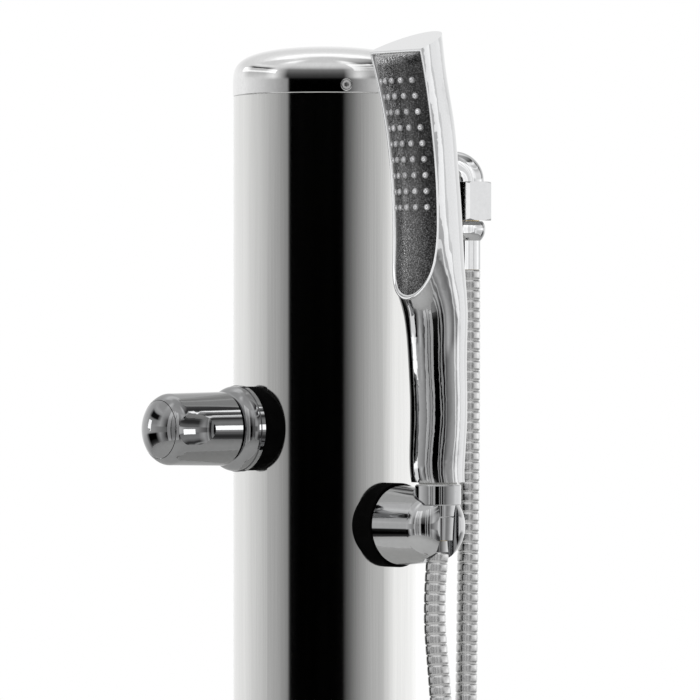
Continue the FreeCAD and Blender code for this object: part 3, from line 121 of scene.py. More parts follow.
def tube_faces(rows: int, columns: int, rows_close: bool = False) -> tuple[Array, Array]:
    """Numbers the faces of a grid of points whose columns run round and close on themselves.

    Args:
        rows: Rows of points.
        columns: Points in a row.
        rows_close: The last row joins the first, as in a ring. Otherwise each end is closed by a fan to a
            pole, and the two poles follow the grid's own points.

    Returns:
        The four-sided faces, and the three-sided ones that close the ends.
    """
    row = np.arange(rows if rows_close else rows - 1)[:, None]
    column = np.arange(columns)[None, :]
    below = (row + 1) % rows
    beside = (column + 1) % columns
    quads = np.stack([row * columns + column, row * columns + beside,
                      below * columns + beside, below * columns + column], axis=-1).reshape(-1, 4)
    if rows_close:
        return quads, np.empty((0, 3), dtype=int)
    around, ahead = column[0], beside[0]
    pole = np.full(columns, rows * columns)
    last_row = (rows - 1) * columns
    start_fan = np.stack([ahead, around, pole], axis=-1)
    end_fan = np.stack([last_row + around, last_row + ahead, pole + 1], axis=-1)
    return quads, np.concatenate([start_fan, end_fan])


def mesh_piece(name: str, points: Array, quads: Array, triangles: Array) -> Piece:
    """Puts whole arrays of points and faces into a new smooth mesh.

    Args:
        name: The piece's name.
        points: Vertex positions in metres.
        quads: Vertex numbers of the four-sided faces.
        triangles: Vertex numbers of the three-sided faces.

    Returns:
        The new object, linked to the scene.
    """
    mesh = bpy.data.meshes.new(name)
    corners = np.concatenate([quads.ravel(), triangles.ravel()]).astype(np.int32)
    starts = np.concatenate([np.arange(len(quads)) * 4, quads.size + np.arange(len(triangles)) * 3])
    mesh.vertices.add(len(points))
    mesh.vertices.foreach_set("co", points.astype(np.float32).ravel())
    mesh.loops.add(len(corners))
    mesh.loops.foreach_set("vertex_index", corners)
    mesh.polygons.add(len(starts))
    mesh.polygons.foreach_set("loop_start", starts.astype(np.int32))
    mesh.update(calc_edges=True)
    mesh.validate()
    mesh.shade_smooth()
    piece = bpy.data.objects.new(name, mesh)
    bpy.context.scene.collection.objects.link(piece)
    return piece


def grid_piece(name: str, grid: Array, rows_close: bool = False) -> Piece:
    """Makes a closed piece from a grid of points whose columns run round.

    Args:
        name: The piece's name.
        grid: Points in metres, rows by columns by three.
        rows_close: The last row joins the first, as in a ring. Otherwise both ends are closed.

    Returns:
        The new object, at the origin, with its faces pointing outwards.
    """
    rows, columns = grid.shape[:2]
    quads, fans = tube_faces(rows, columns, rows_close)
    points = grid.reshape(-1, 3)
    if not rows_close:
        points = np.concatenate([points, grid[0].mean(axis=0)[None], grid[-1].mean(axis=0)[None]])
    triangles = np.concatenate([quads[:, [0, 1, 2]], quads[:, [0, 2, 3]], fans])
    if signed_volume(points - points.mean(axis=0), triangles) < 0:
        quads = quads[:, ::-1]
        fans = fans[:, ::-1]
    return mesh_piece(name, points, quads, fans)


def studs_piece(name: str, feet: Array, out: Array, profile: Array, around: int) -> Piece:
    """Stands one turned stud on each of many feet.

    Each stud is its profile of radius and height, turned about the outward direction at its foot and closed
    flat at both ends.

    Args:
        name: The piece's name.
        feet: The studs' feet in metres, one row each.
        out: The outward directions, one row each.
        profile: Rows of radius and height in metres, from the foot to the tip.
        around: Points round a stud.

    Returns:
        All the studs as one piece.
    """
    first = unit(np.cross(out, np.array([0.0, 0.0, 1.0])))
    ring = rings(first, np.cross(out, first), around)
    radius, height = profile[:, 0], profile[:, 1]
    grid = (feet[:, None, None, :] + out[:, None, None, :] * height[None, :, None, None]
            + ring[:, None, :, :] * radius[None, :, None, None])
    studs, rows = grid.shape[:2]
    poles = feet[:, None, :] + out[:, None, :] * height[[0, -1]][None, :, None]
    points = np.concatenate([grid.reshape(studs, rows * around, 3), poles], axis=1)
    quads, fans = tube_faces(rows, around)
    start = (np.arange(studs) * points.shape[1])[:, None, None]
    quads, fans = (quads + start).reshape(-1, 4), (fans + start).reshape(-1, 3)
    return mesh_piece(name, points.reshape(-1, 3), quads, fans)


def placed(local: Array, origin: Point, bearing: float) -> Array:
    """Turns local points (front, side, rise) about the upright through origin.

    Args:
        local: Points in millimetres, the front first, the last axis of length three.
        origin: Where the local origin goes, in millimetres.
        bearing: Degrees from the photographed side of the post towards its right, where the front faces.

    Returns:
        The points in metres.
    """
    turn = math.radians(bearing)
    front, side, rise = local[..., 0], local[..., 1], local[..., 2]
    across = front * math.sin(turn) + side * math.cos(turn)
    along = -front * math.cos(turn) + side * math.sin(turn)
    return (np.stack([across, along, rise], axis=-1) + np.array(origin)) * MM


# ---- Finishes ----

def shade(colour: Colour, factor: float) -> Colour:
    """Gives a colour made darker or lighter by a factor, at most white."""
    return tuple(min(1.0, factor * part) for part in colour)


class Nodes:
    """A node tree under construction, and short ways to add to it."""

    def __init__(self, tree: bpy.types.NodeTree) -> None:
        """Takes over a tree and empties it."""
        self.tree = tree
        self.tree.nodes.clear()

    def feed(self, socket: Socket, value: Feed) -> None:
        """Links an input to another node's output, or sets it to a plain value.

        Args:
            socket: The input.
            value: The other node's output, or the value.
        """
        if isinstance(value, Socket):
            self.tree.links.new(value, socket)
        else:
            socket.default_value = value

    def add(self, kind: str, inputs: Optional[dict[object, Feed]] = None, **settings: str) -> bpy.types.Node:
        """Adds a node.

        Args:
            kind: The node's type.
            inputs: What goes into each input, by the input's name or number.
            settings: The node's own settings.

        Returns:
            The node.
        """
        node = self.tree.nodes.new(kind)
        for name, value in settings.items():
            setattr(node, name, value)
        for name, value in (inputs or {}).items():
            self.feed(node.inputs[name], value)
        return node

    def maths(self, operation: str, *values: Feed) -> Socket:
        """Works on one or two values, with Blender's word for the operation."""
        return self.add("ShaderNodeMath", dict(enumerate(values)), operation=operation).outputs["Value"]

    def span(self, value: Feed, low: float, high: float, start: float = 0.3, end: float = 0.7,
             curve: str = "LINEAR") -> Socket:
        """Maps start to low and end to high, held at both. A noise is mostly from 0.3 to 0.7."""
        ranges = {"Value": value, "From Min": start, "From Max": end, "To Min": low, "To Max": high}
        return self.add("ShaderNodeMapRange", ranges, interpolation_type=curve).outputs["Result"]

    def mix(self, factor: Feed, first: Feed, second: Feed) -> Socket:
        """Blends two colours.

        Args:
            factor: How much of the second.
            first: Colour at 0.
            second: Colour at 1.

        Returns:
            The blended colour.
        """
        node = self.add("ShaderNodeMix", {"Factor": factor}, data_type="RGBA")
        colours = [socket for socket in node.inputs if socket.type == "RGBA"]
        self.feed(colours[0], first)
        self.feed(colours[1], second)
        return next(socket for socket in node.outputs if socket.type == "RGBA")


@dataclass(frozen=True)
class Noise:
    """An even noise: repeats per metre, octaves, and how strong the finer ones are."""

    scale: float
    detail: float = 2.0
    rough: float = 0.5


class Coat(Nodes):
    """One material under construction, round its surface shader."""

    def __init__(self, name: str) -> None:
        """Starts a material with one surface shader.

        Args:
            name: The material's name.
        """
        self.material = bpy.data.materials.new(name)
        self.material.use_nodes = True
        super().__init__(self.material.node_tree)
        self.surface = self.add("ShaderNodeBsdfPrincipled")
        self.add("ShaderNodeOutputMaterial", {"Surface": self.surface.outputs["BSDF"]})
        self.place = self.add("ShaderNodeTexCoord").outputs["Object"]
        self.patterns: dict[Noise, Socket] = {}

    def set(self, **values: Feed) -> None:
        """Feeds sockets of the surface shader, named with _ for a space."""
        for name, value in values.items():
            self.feed(self.surface.inputs[name.replace("_", " ")], value)

    def scaled(self, across: float, upright: Optional[float] = None) -> Socket:
        """Scales the piece's own coordinates to repeats per metre, along the upright to others if given."""
        scale = (across, across, upright or across)
        return self.add("ShaderNodeMapping", {"Vector": self.place, "Scale": scale}).outputs["Vector"]

    def ringed(self, scale: float) -> Socket:
        """Adds coordinates that change only with the distance from the post's axis.

        Args:
            scale: Repeats per metre.

        Returns:
            The coordinates.
        """
        level = {0: self.place, 1: (scale, scale, 0.0)}
        flat = self.add("ShaderNodeVectorMath", level, operation="MULTIPLY").outputs["Vector"]
        length = self.add("ShaderNodeVectorMath", {0: flat}, operation="LENGTH").outputs["Value"]
        return self.add("ShaderNodeCombineXYZ", {"X": length}).outputs["Vector"]

    def noise(self, where: Socket, detail: float = 2.0, rough: float = 0.5) -> Socket:
        """Adds a noise from 0 to 1 with so many octaves, the finer ones as strong as rough says."""
        inputs = {"Vector": where, "Scale": 1.0, "Detail": detail, "Roughness": rough}
        return self.add("ShaderNodeTexNoise", inputs).outputs["Fac"]

    def pattern(self, noise: Noise) -> Socket:
        """Adds a noise that is the same along all three axes, once for each kind.

        Args:
            noise: The kind.

        Returns:
            The pattern, from 0 to 1.
        """
        if noise not in self.patterns:
            self.patterns[noise] = self.noise(self.scaled(noise.scale), noise.detail, noise.rough)
        return self.patterns[noise]

    def on_walls(self, value: Socket) -> Socket:
        """Fades a pattern out where the surface lies flat.

        Args:
            value: The pattern.

        Returns:
            The pattern times one on upright faces and times nothing on level ones.
        """
        normal = self.add("ShaderNodeNewGeometry").outputs["True Normal"]
        level = self.maths("ABSOLUTE", self.add("ShaderNodeSeparateXYZ", {0: normal}).outputs["Z"])
        return self.maths("MULTIPLY", self.span(level, 1.0, 0.0, *WALL_FADE), value)

    def tint(self, pattern: Socket, first: Colour, second: Colour, start: float = 0.3,
             end: float = 0.7) -> None:
        """Varies the colour by a pattern, from the first at start to the second at end."""
        share = self.span(pattern, 0.0, 1.0, start, end)
        self.set(Base_Color=self.mix(share, (*first, 1.0), (*second, 1.0)))

    def relief(self, height: Socket, depth: float, strength: float = 1.0) -> None:
        """Turns a pattern into relief as deep as depth, in metres, and shows as much of it as strength."""
        bump = self.add("ShaderNodeBump", {"Height": height, "Distance": depth, "Strength": strength})
        self.set(Normal=bump.outputs["Normal"])


class Grain(Enum):
    """The direction in which a metal surface was brushed."""

    UPRIGHT = "along the post"
    TURNED = "round the post's axis"
    NONE = "no direction"


@dataclass(frozen=True)
class BrushedSteel:
    """Stainless steel with a fine one-way brush."""

    name: str
    tint: Colour = (0.74, 0.74, 0.73)
    rough: float = 0.088
    spread: float = 0.026
    contrast: tuple[float, float] = (0.94, 1.03)
    gloss_share: float = 0.4
    line_pitch: float = 0.00045
    line_length: float = 0.09
    lines_in_patch: float = 9.0
    patch_stretch: float = 0.35
    depth: float = 0.0000012
    grain: Grain = Grain.UPRIGHT

    def material(self) -> bpy.types.Material:
        """Builds the finish: long thin noise lines vary its tint and relief, broad patches its gloss.

        Returns:
            The material.
        """
        coat = Coat(self.name)
        fine = 1.0 / self.line_pitch
        broad = fine / self.lines_in_patch
        if self.grain is Grain.UPRIGHT:
            lines = coat.scaled(fine, 1.0 / self.line_length)
            patches = coat.scaled(broad, self.patch_stretch / self.line_length)
        else:
            scaled = coat.ringed if self.grain is Grain.TURNED else coat.scaled
            lines, patches = scaled(fine), scaled(broad)
        streak = coat.noise(lines, detail=3.0, rough=0.6)
        glossiest = self.rough - self.gloss_share * self.spread
        gloss = coat.span(coat.noise(patches, detail=1.0), glossiest, glossiest + self.spread)
        coat.set(Metallic=1.0, Roughness=gloss)
        coat.tint(streak, *(shade(self.tint, factor) for factor in self.contrast))
        coat.relief(streak, self.depth)
        return coat.material


@dataclass(frozen=True)
class MirrorChrome:
    """Polished or plated metal with a faint waviness and a little handling haze."""

    name: str
    tint: Colour = (0.52, 0.523, 0.528)
    rough: float = 0.035
    haze: float = 0.03
    contrast: tuple[float, float] = (1.02, 0.96)
    haze_spread: tuple[float, float] = (0.45, 0.8)
    wave_pitch: float = 0.012
    wave_depth: float = 0.0000025
    wave_stretch: float = 1.0
    hazes_in_wave: float = 5.0

    def material(self) -> bpy.types.Material:
        """Builds the finish: broad soft noise bends the mirror, finer noise hazes it.

        Returns:
            The material.
        """
        coat = Coat(self.name)
        wide = 1.0 / self.wave_pitch
        wave = coat.noise(coat.scaled(wide, wide / self.wave_stretch), detail=1.0)
        if self.wave_stretch > 1.0:
            wave = coat.on_walls(wave)
        haze = coat.pattern(Noise(wide * self.hazes_in_wave, detail=3.0, rough=0.6))
        hazed = coat.span(haze, self.rough, self.rough + self.haze, *self.haze_spread)
        coat.set(Metallic=1.0, Roughness=hazed)
        coat.tint(haze, *(shade(self.tint, factor) for factor in self.contrast))
        coat.relief(wave, self.wave_depth)
        return coat.material


@dataclass(frozen=True)
class EvenFinish:
    """A finish with no direction, whose colour, gloss and relief each follow an even noise.

    The two colours and roughnesses are those at the low and the high end of their noise. The depth of the
    relief is in metres.
    """

    name: str
    colours: tuple[Colour, Colour]
    colour_noise: Noise
    rough: tuple[float, float]
    rough_noise: Noise
    relief_noise: Noise
    depth: float
    strength: float = 1.0
    colour_spread: tuple[float, float] = (0.3, 0.7)
    shine: float = 0.5
    metallic: float = 0.0

    def material(self) -> bpy.types.Material:
        """Builds the finish, without relief where it has no depth.

        Returns:
            The material.
        """
        coat = Coat(self.name)
        coat.tint(coat.pattern(self.colour_noise), *self.colours, *self.colour_spread)
        coat.set(Roughness=coat.span(coat.pattern(self.rough_noise), *self.rough))
        coat.set(Specular_IOR_Level=self.shine, Metallic=self.metallic)
        if self.depth > 0.0:
            coat.relief(coat.pattern(self.relief_noise), self.depth, self.strength)
        return coat.material


PITS = Noise(2000.0)
BLOOM = Noise(2000.0 / 14.0, detail=3.0)
SPECKLE = Noise(1.0 / 0.0007, rough=0.6)
TARNISH = Noise(90.0, detail=4.0, rough=0.6)
TOOL_MARKS = Noise(2600.0)
MOTTLE = Noise(700.0, detail=3.0)
DRIFT = Noise(60.0)
MOULD_SKIN = Noise(1800.0)
GROUND = Noise(3.0, detail=3.0)


class Slot(Enum):
    """The record's material slots and the finish that each gets."""

    BRUSHED_STAINLESS = BrushedSteel("brushed_stainless")
    POLISHED_STAINLESS = MirrorChrome("polished_stainless", (0.80, 0.80, 0.80), 0.045, 0.04)
    CHROME_PLATE = MirrorChrome("chrome_plate")
    HOSE_STEEL = MirrorChrome("hose_steel", (0.62, 0.62, 0.62), 0.2, 0.06)
    BLACK_RUBBER = EvenFinish("black_rubber", ((0.0025, 0.0025, 0.0025), (0.004, 0.004, 0.004)), BLOOM,
                              (0.59, 0.73), PITS, PITS, 0.00004, 0.35, (0.4, 0.75), shine=0.01)
    NOZZLE_RUBBER = EvenFinish("nozzle_rubber", ((0.17, 0.17, 0.174), (0.272, 0.272, 0.2784)), BLOOM,
                               (0.24, 0.38), PITS, PITS, 0.00004, 0.35, (0.4, 0.75), shine=0.9)
    BRASS = EvenFinish("brass", ((0.5184, 0.4032, 0.2016), (0.72, 0.56, 0.28)), TARNISH,
                       (0.36, 0.24), TARNISH, TOOL_MARKS, 0.000006, metallic=1.0)
    PLAIN_STAINLESS = BrushedSteel("plain_stainless", (0.66, 0.66, 0.66), 0.26, 0.08, grain=Grain.NONE)
    CERAMIC = EvenFinish("ceramic", ((0.8184, 0.8091, 0.7812), (0.88, 0.87, 0.84)), MOTTLE,
                         (0.16, 0.24), MOTTLE, MOTTLE, 0.000002)
    SPRAY_PLATE = EvenFinish("spray_plate", ((0.006, 0.006, 0.006), (0.17, 0.17, 0.173)), SPECKLE,
                             (0.31, 0.21), SPECKLE, SPECKLE, 0.00006, 0.6, (0.44, 0.72), shine=1.0)
    INNER_PLASTIC = EvenFinish("inner_plastic", ((0.752, 0.752, 0.7332), (0.80, 0.80, 0.78)), DRIFT,
                               (0.33, 0.45), MOULD_SKIN, MOULD_SKIN, 0.00002, 0.4)

    @property
    def slot_name(self) -> str:
        """The slot's name in the record."""
        return self.value.name


TURNED_STEEL = BrushedSteel("turned_stainless", grain=Grain.TURNED)
WELD_STEEL = BrushedSteel("weld_stainless", rough=0.3, grain=Grain.NONE)
# Painted shade: the tap's plating is a darker copy of the chrome, standing in for the darker surroundings
# that it mirrors.
TAP_PAINTED_SHADE_CHROME = MirrorChrome("tap_painted_shade_chrome", (0.32, 0.322, 0.326))
PALE_FLOOR = EvenFinish("pale_floor", ((0.80, 0.80, 0.79), (0.84, 0.84, 0.83)), GROUND,
                        (0.7, 0.7), GROUND, GROUND, 0.0, colour_spread=(0.0, 1.0))
HANDSET_CHROME = MirrorChrome("handset_chrome", wave_pitch=0.005, wave_depth=0.00013, wave_stretch=12.0)


class Paints:
    """The finishes as materials, each made once."""

    def __init__(self) -> None:
        """Starts with nothing made."""
        self._made: dict[object, bpy.types.Material] = {}

    def get(self, finish: object) -> bpy.types.Material:
        """Gives the material of a finish, made at its first use.

        Args:
            finish: The finish.

        Returns:
            Its material.
        """
        if finish not in self._made:
            self._made[finish] = finish.material()
        return self._made[finish]

    def on_node(self, node: str, slot: Slot, finish: Optional[object] = None) -> None:
        """Dresses a carried-over solid.

        Args:
            node: Its name in the frame.
            slot: Its material slot in the record.
            finish: Another finish of that slot, where one is wanted.
        """
        material = self.get(finish or slot.value)
        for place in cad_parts[node].material_slots:
            place.material = material

    def on_piece(self, piece: Piece, slot: Slot, finish: Optional[object] = None) -> None:
        """Dresses a new piece in its slot's finish, or another where one is wanted."""
        piece.data.materials.append(self.get(finish or slot.value))
        slot.slot_name


@dataclass
class SubAssembly:
    """Some of the post's solids, named under the slot that each gets."""

    title: str = ""
    finishes: dict[Slot, str] = field(default_factory=dict)

    def solids(self) -> list[tuple[str, Slot]]:
        """Lists the group's carried-over solids, each with its slot."""
        return [(node, slot) for slot, nodes in self.finishes.items() for node in nodes.split()]

    def dress(self, paints: Paints) -> None:
        """Gives every carried-over solid of this group its finish.

        Args:
            paints: The finishes as materials.
        """
        for node, slot in self.solids():
            paints.on_node(node, slot)
            LOG.info("%s: %s in %s", self.title, node, slot.slot_name)

    def hide_from_reflections(self, *pieces: Piece) -> None:
        """Keeps this group's solids and the new pieces out of what the metal round them mirrors."""
        for piece in (*pieces, *(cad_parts[node] for node, _ in self.solids())):
            piece.visible_glossy = False

    def build(self, paints: Paints) -> None:
        """Makes the group's own new pieces, where it has any."""


# ---- Post ----

@dataclass
class Post(SubAssembly):
    """The tube on its floor flange, and the cap."""

    title: str = "post"
    bead_leg: float = 3.4
    bead_hollow: float = 0.72
    bead_ripples: int = 150
    bead_ripple: float = 0.16
    bead_skew: float = 0.5
    ripple_points: int = 6
    bead_arc_points: int = 9
    bead_root: float = 0.6
    bead_depth: float = 0.4
    cap_wall: float = 2.4
    cap_edge: float = 0.45
    cap_edge_draw: float = 0.35
    cap_power: float = 5.0
    cap_top_share: float = 0.999999
    cap_around: int = 216
    skirt_edge_top: float = 0.8
    skirt_start: float = 1.2
    skirt_top: float = 8.0
    skirt_rows: tuple[int, int] = (5, 30)
    dome_start: float = 0.32
    dome_rows: int = 64
    screw_arc: float = 0.075
    screw_columns: int = 61
    screw_recess: float = 1.25
    screw_recess_radius: float = 3.1
    screw_bevel: float = 0.8
    finishes: dict[Slot, str] = field(default_factory=lambda: {
        Slot.BRUSHED_STAINLESS: "post_tube base_flange",
        Slot.PLAIN_STAINLESS: "cap_insert cap_set_screw",
        Slot.POLISHED_STAINLESS: "top_cap",
    })

    def weld_bead(self) -> Piece:
        """Makes the weld between tube and flange.

        The section is a hollow quarter round on the corner, carried round the tube, and it goes a little way
        into both. Its leg swells and shrinks by a small sine of the angle, skewed so that each ripple has a
        steep side, as laid weld metal has.

        Returns:
            The ring.
        """
        turn = full_turn(self.bead_ripples * self.ripple_points)[:, None]
        wave = turn * self.bead_ripples
        leg = self.bead_leg + self.bead_ripple * np.sin(wave + self.bead_skew * np.sin(wave))
        angle = np.linspace(0.0, 0.5 * math.pi, self.bead_arc_points)[None, :]
        out = leg * (1.0 - self.bead_hollow * np.sin(angle))
        up = leg * (1.0 - self.bead_hollow * np.cos(angle))
        root = np.full_like(turn, -self.bead_root)
        out = np.concatenate([out, root, root], axis=1)
        up = np.concatenate([up, up[:, -1:], np.full_like(turn, -self.bead_depth)], axis=1)
        radius = POST_RADIUS + out
        grid = np.stack([radius * np.cos(turn), radius * np.sin(turn), FLANGE_TOP + up], axis=-1) * MM
        return grid_piece("flange_weld", grid, rows_close=True)

    def cap_radius(self, radius: float, share: Array) -> Array:
        """Gives the dome's radius at shares of its height, for a radius at its foot."""
        return radius * np.sqrt(1.0 - share ** self.cap_power)

    def cap_skin(self) -> Piece:
        """Makes the domed cap with the small recess of its set screw.

        The radius falls from the skirt to the top as the root of one less the fifth power of the height's
        share, so the skirt runs into the dome without an edge. It draws in over the last half millimetre
        above the joint. Round the set screw the surface steps inwards. The inside is the same shape, one
        wall smaller. Points lie closer together at the joint, on the skirt and at the screw.

        Returns:
            The cap.
        """
        height = POST_TOP - CAP_BASE
        screw = math.radians(SCREW_BEARING)
        even = np.linspace(-math.pi, math.pi, self.cap_around, endpoint=False)
        close = screw + np.linspace(-self.screw_arc, self.screw_arc, self.screw_columns)
        bearing = np.unique(np.concatenate([even, close]))[None, :]
        skirt = np.concatenate([np.linspace(0.0, self.skirt_edge_top, self.skirt_rows[0]),
                                np.linspace(self.skirt_start, self.skirt_top, self.skirt_rows[1])]) / height
        dome = np.sin(np.linspace(math.asin(self.dome_start), 0.5 * math.pi, self.dome_rows))
        share = np.concatenate([skirt, dome])[:, None]
        share[-1] = self.cap_top_share
        rise = CAP_BASE + height * share
        over = np.clip(1.0 - (rise - CAP_BASE) / self.cap_edge, 0.0, 1.0)
        away = np.hypot(CAP_RADIUS * (bearing - screw), rise - SCREW_HEIGHT)
        step = np.clip((self.screw_recess_radius - away) / self.screw_bevel, 0.0, 1.0)
        drawn_in = self.cap_edge_draw * over ** 2 + self.screw_recess * step
        outer = self.cap_radius(CAP_RADIUS, share) - drawn_in
        inner = self.cap_radius(CAP_RADIUS - self.cap_wall, share[::-1]) + 0.0 * bearing
        inner_rise = CAP_BASE + (height - self.cap_wall) * share[::-1]
        radius = np.concatenate([inner, outer])
        rises = np.concatenate([inner_rise, rise]) + 0.0 * bearing
        grid = np.stack([radius * np.sin(bearing), -radius * np.cos(bearing), rises], axis=-1) * MM
        return grid_piece("cap_skin", grid)

    def build(self, paints: Paints) -> None:
        """Makes the cap, lays the weld and brushes the flange round the post.

        Args:
            paints: The finishes as materials.
        """
        cap = self.cap_skin()
        paints.on_piece(cap, Slot.POLISHED_STAINLESS)
        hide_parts("top_cap")
        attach(cap, "post")
        LOG.info("%s: cap with its screw recess", self.title)
        paints.on_node("base_flange", Slot.BRUSHED_STAINLESS, TURNED_STEEL)
        bead = self.weld_bead()
        paints.on_piece(bead, Slot.BRUSHED_STAINLESS, WELD_STEEL)
        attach(bead, "post")
        LOG.info("%s: weld bead laid", self.title)


@dataclass
class WaterWay(SubAssembly):
    """The inlet at the rear and the pipes inside the post."""

    title: str = "water way"
    finishes: dict[Slot, str] = field(default_factory=lambda: {
        Slot.BRASS: "inlet_nipple inlet_back_nut riser_nuts",
        Slot.BLACK_RUBBER: "inlet_gasket",
        Slot.PLAIN_STAINLESS: "riser_lower riser_upper",
    })


@dataclass
class Tap(SubAssembly):
    """The stop tap with its turning handle."""

    title: str = "tap"
    finishes: dict[Slot, str] = field(default_factory=lambda: {
        Slot.BRASS: "tap_valve_body tap_cartridge tap_spindle",
        Slot.BLACK_RUBBER: "tap_gasket tap_spindle_seal",
        Slot.CHROME_PLATE: "tap_rosette tap_handle tap_index_cap",
        Slot.CERAMIC: "tap_fixed_disc tap_moving_disc",
        Slot.PLAIN_STAINLESS: "tap_handle_screw",
    })

    def build(self, paints: Paints) -> None:
        """Gives the outer pieces a darker copy of the chrome plating, which is painted shade for the darker
        surroundings that they mirror.

        Args:
            paints: The finishes as materials.
        """
        for node in ("tap_rosette", "tap_handle", "tap_index_cap"):
            paints.on_node(node, Slot.CHROME_PLATE, TAP_PAINTED_SHADE_CHROME)


@dataclass
class Holder(SubAssembly):
    """The slotted socket that the handset stands in."""

    title: str = "holder"
    finishes: dict[Slot, str] = field(default_factory=lambda: {
        Slot.BLACK_RUBBER: "holder_gasket",
        Slot.CHROME_PLATE: "holder_body",
        Slot.PLAIN_STAINLESS: "holder_bolt holder_washer",
    })


@dataclass
class Outlet(SubAssembly):
    """The elbow on the right side and the hose's fixed end."""

    title: str = "outlet"
    finishes: dict[Slot, str] = field(default_factory=lambda: {
        Slot.CHROME_PLATE: "outlet_elbow hose_outlet_nut hose_outlet_sleeve",
        Slot.BLACK_RUBBER: "outlet_gasket outlet_washer",
        Slot.BRASS: "outlet_back_nut hose_outlet_tail",
    })


@dataclass
class Hose(SubAssembly):
    """The ribbed metal hose and the fittings of its lower end."""

    title: str = "hose"
    radius: float = 6.0
    crest_dome: float = 0.16
    groove: float = 0.6
    groove_share: float = 0.12
    rib_pitch: float = 5.58
    rib_places: Sequence[float] = (0.0, 0.07, 0.15, 0.27, 0.5, 0.73, 0.85, 0.93)
    around: int = 24
    route_degree: int = 2
    route_steps: int = 24
    route: Sequence[Point] = (
        (0.08, 0.0, 1.0265), (0.08, 0.0, 0.975), (0.0794, 0.0006, 0.88), (0.078, 0.0032, 0.775),
        (0.0764, 0.009, 0.65), (0.0754, 0.02, 0.52), (0.075, 0.031, 0.405), (0.075, 0.032, 0.285),
        (0.075, -0.008, 0.244), (0.0755, -0.065, 0.2441), (0.0765, -0.105, 0.284), (0.0765, -0.107, 0.39),
        (0.0755, -0.099, 0.515), (0.0726, -0.0865, 0.635), (0.0676, -0.074, 0.73), (0.0624, -0.0654, 0.80),
        (0.0586, -0.0636616, 0.8446), (0.0614773, -0.0636616, 0.8726),
    )
    finishes: dict[Slot, str] = field(default_factory=lambda: {
        Slot.HOSE_STEEL: "hose",
        Slot.CHROME_PLATE: "hose_sleeve hose_cone_nut",
        Slot.BRASS: "hose_tail",
    })

    def centreline(self) -> Array:
        """Reads the smooth line that the route's points pull into shape.

        Returns:
            Its points in order, in metres.
        """
        data = bpy.data.curves.new("hose_route", "CURVE")
        data.dimensions = "3D"
        spline = data.splines.new("NURBS")
        spline.points.add(len(self.route) - 1)
        for point, place in zip(spline.points, self.route):
            point.co = (*place, 1.0)
        spline.order_u = self.route_degree + 1
        spline.use_endpoint_u = True
        spline.resolution_u = self.route_steps
        curve = bpy.data.objects.new("hose_route", data)
        bpy.context.scene.collection.objects.link(curve)
        mesh = bpy.data.meshes.new_from_object(curve)
        line = np.empty(len(mesh.vertices) * 3)
        mesh.vertices.foreach_get("co", line)
        bpy.data.objects.remove(curve)
        bpy.data.meshes.remove(mesh)
        return line.reshape(-1, 3)

    def rib_profile(self, phase: Array) -> Array:
        """Gives the hose's radius along one rib.

        The radius is the crest less the groove's depth times a narrow bell at the ends of the pitch, and the
        crest itself is slightly domed.

        Args:
            phase: Place along the pitch, from 0 to 1.

        Returns:
            The radius in millimetres.
        """
        from_crest = np.abs(2.0 * phase - 1.0)
        groove = self.groove * np.exp(-((1.0 - from_crest) / self.groove_share) ** 2)
        return self.radius - self.crest_dome * from_crest ** 2 - groove

    def tube(self, line: Array) -> Piece:
        """Carries the ribs along the centreline.

        Stations are spread over the line by length, eight to a rib, closer at the grooves. At each the
        circle lies square to the line, with its first point towards the post's right.

        Args:
            line: The centreline's points in metres.

        Returns:
            The ribbed tube.
        """
        run = np.concatenate([[0.0], np.cumsum(np.linalg.norm(np.diff(line, axis=0), axis=1))])
        ribs = round(run[-1] / (self.rib_pitch * MM))
        phases = np.array(self.rib_places)
        stations = ((np.arange(ribs)[:, None] + phases[None, :]).ravel() / ribs) * run[-1]
        stations = np.append(stations, run[-1])
        radius = np.append(np.tile(self.rib_profile(phases), ribs), self.rib_profile(phases[:1])) * MM
        centre = np.stack([np.interp(stations, run, line[:, k]) for k in range(3)], axis=1)
        return grid_piece("ribbed_hose", circles(centre, np.gradient(centre, axis=0), radius, self.around))

    def build(self, paints: Paints) -> None:
        """Args:
            paints: The finishes as materials.
        """
        line = self.centreline()
        length = float(np.linalg.norm(np.diff(line, axis=0), axis=1).sum())
        hose = self.tube(line)
        paints.on_piece(hose, Slot.HOSE_STEEL)
        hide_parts("hose")
        self.hide_from_reflections(hose)
        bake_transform(hose)
        LOG.info("%s: %.3f m of ribbed tube", self.title, length)


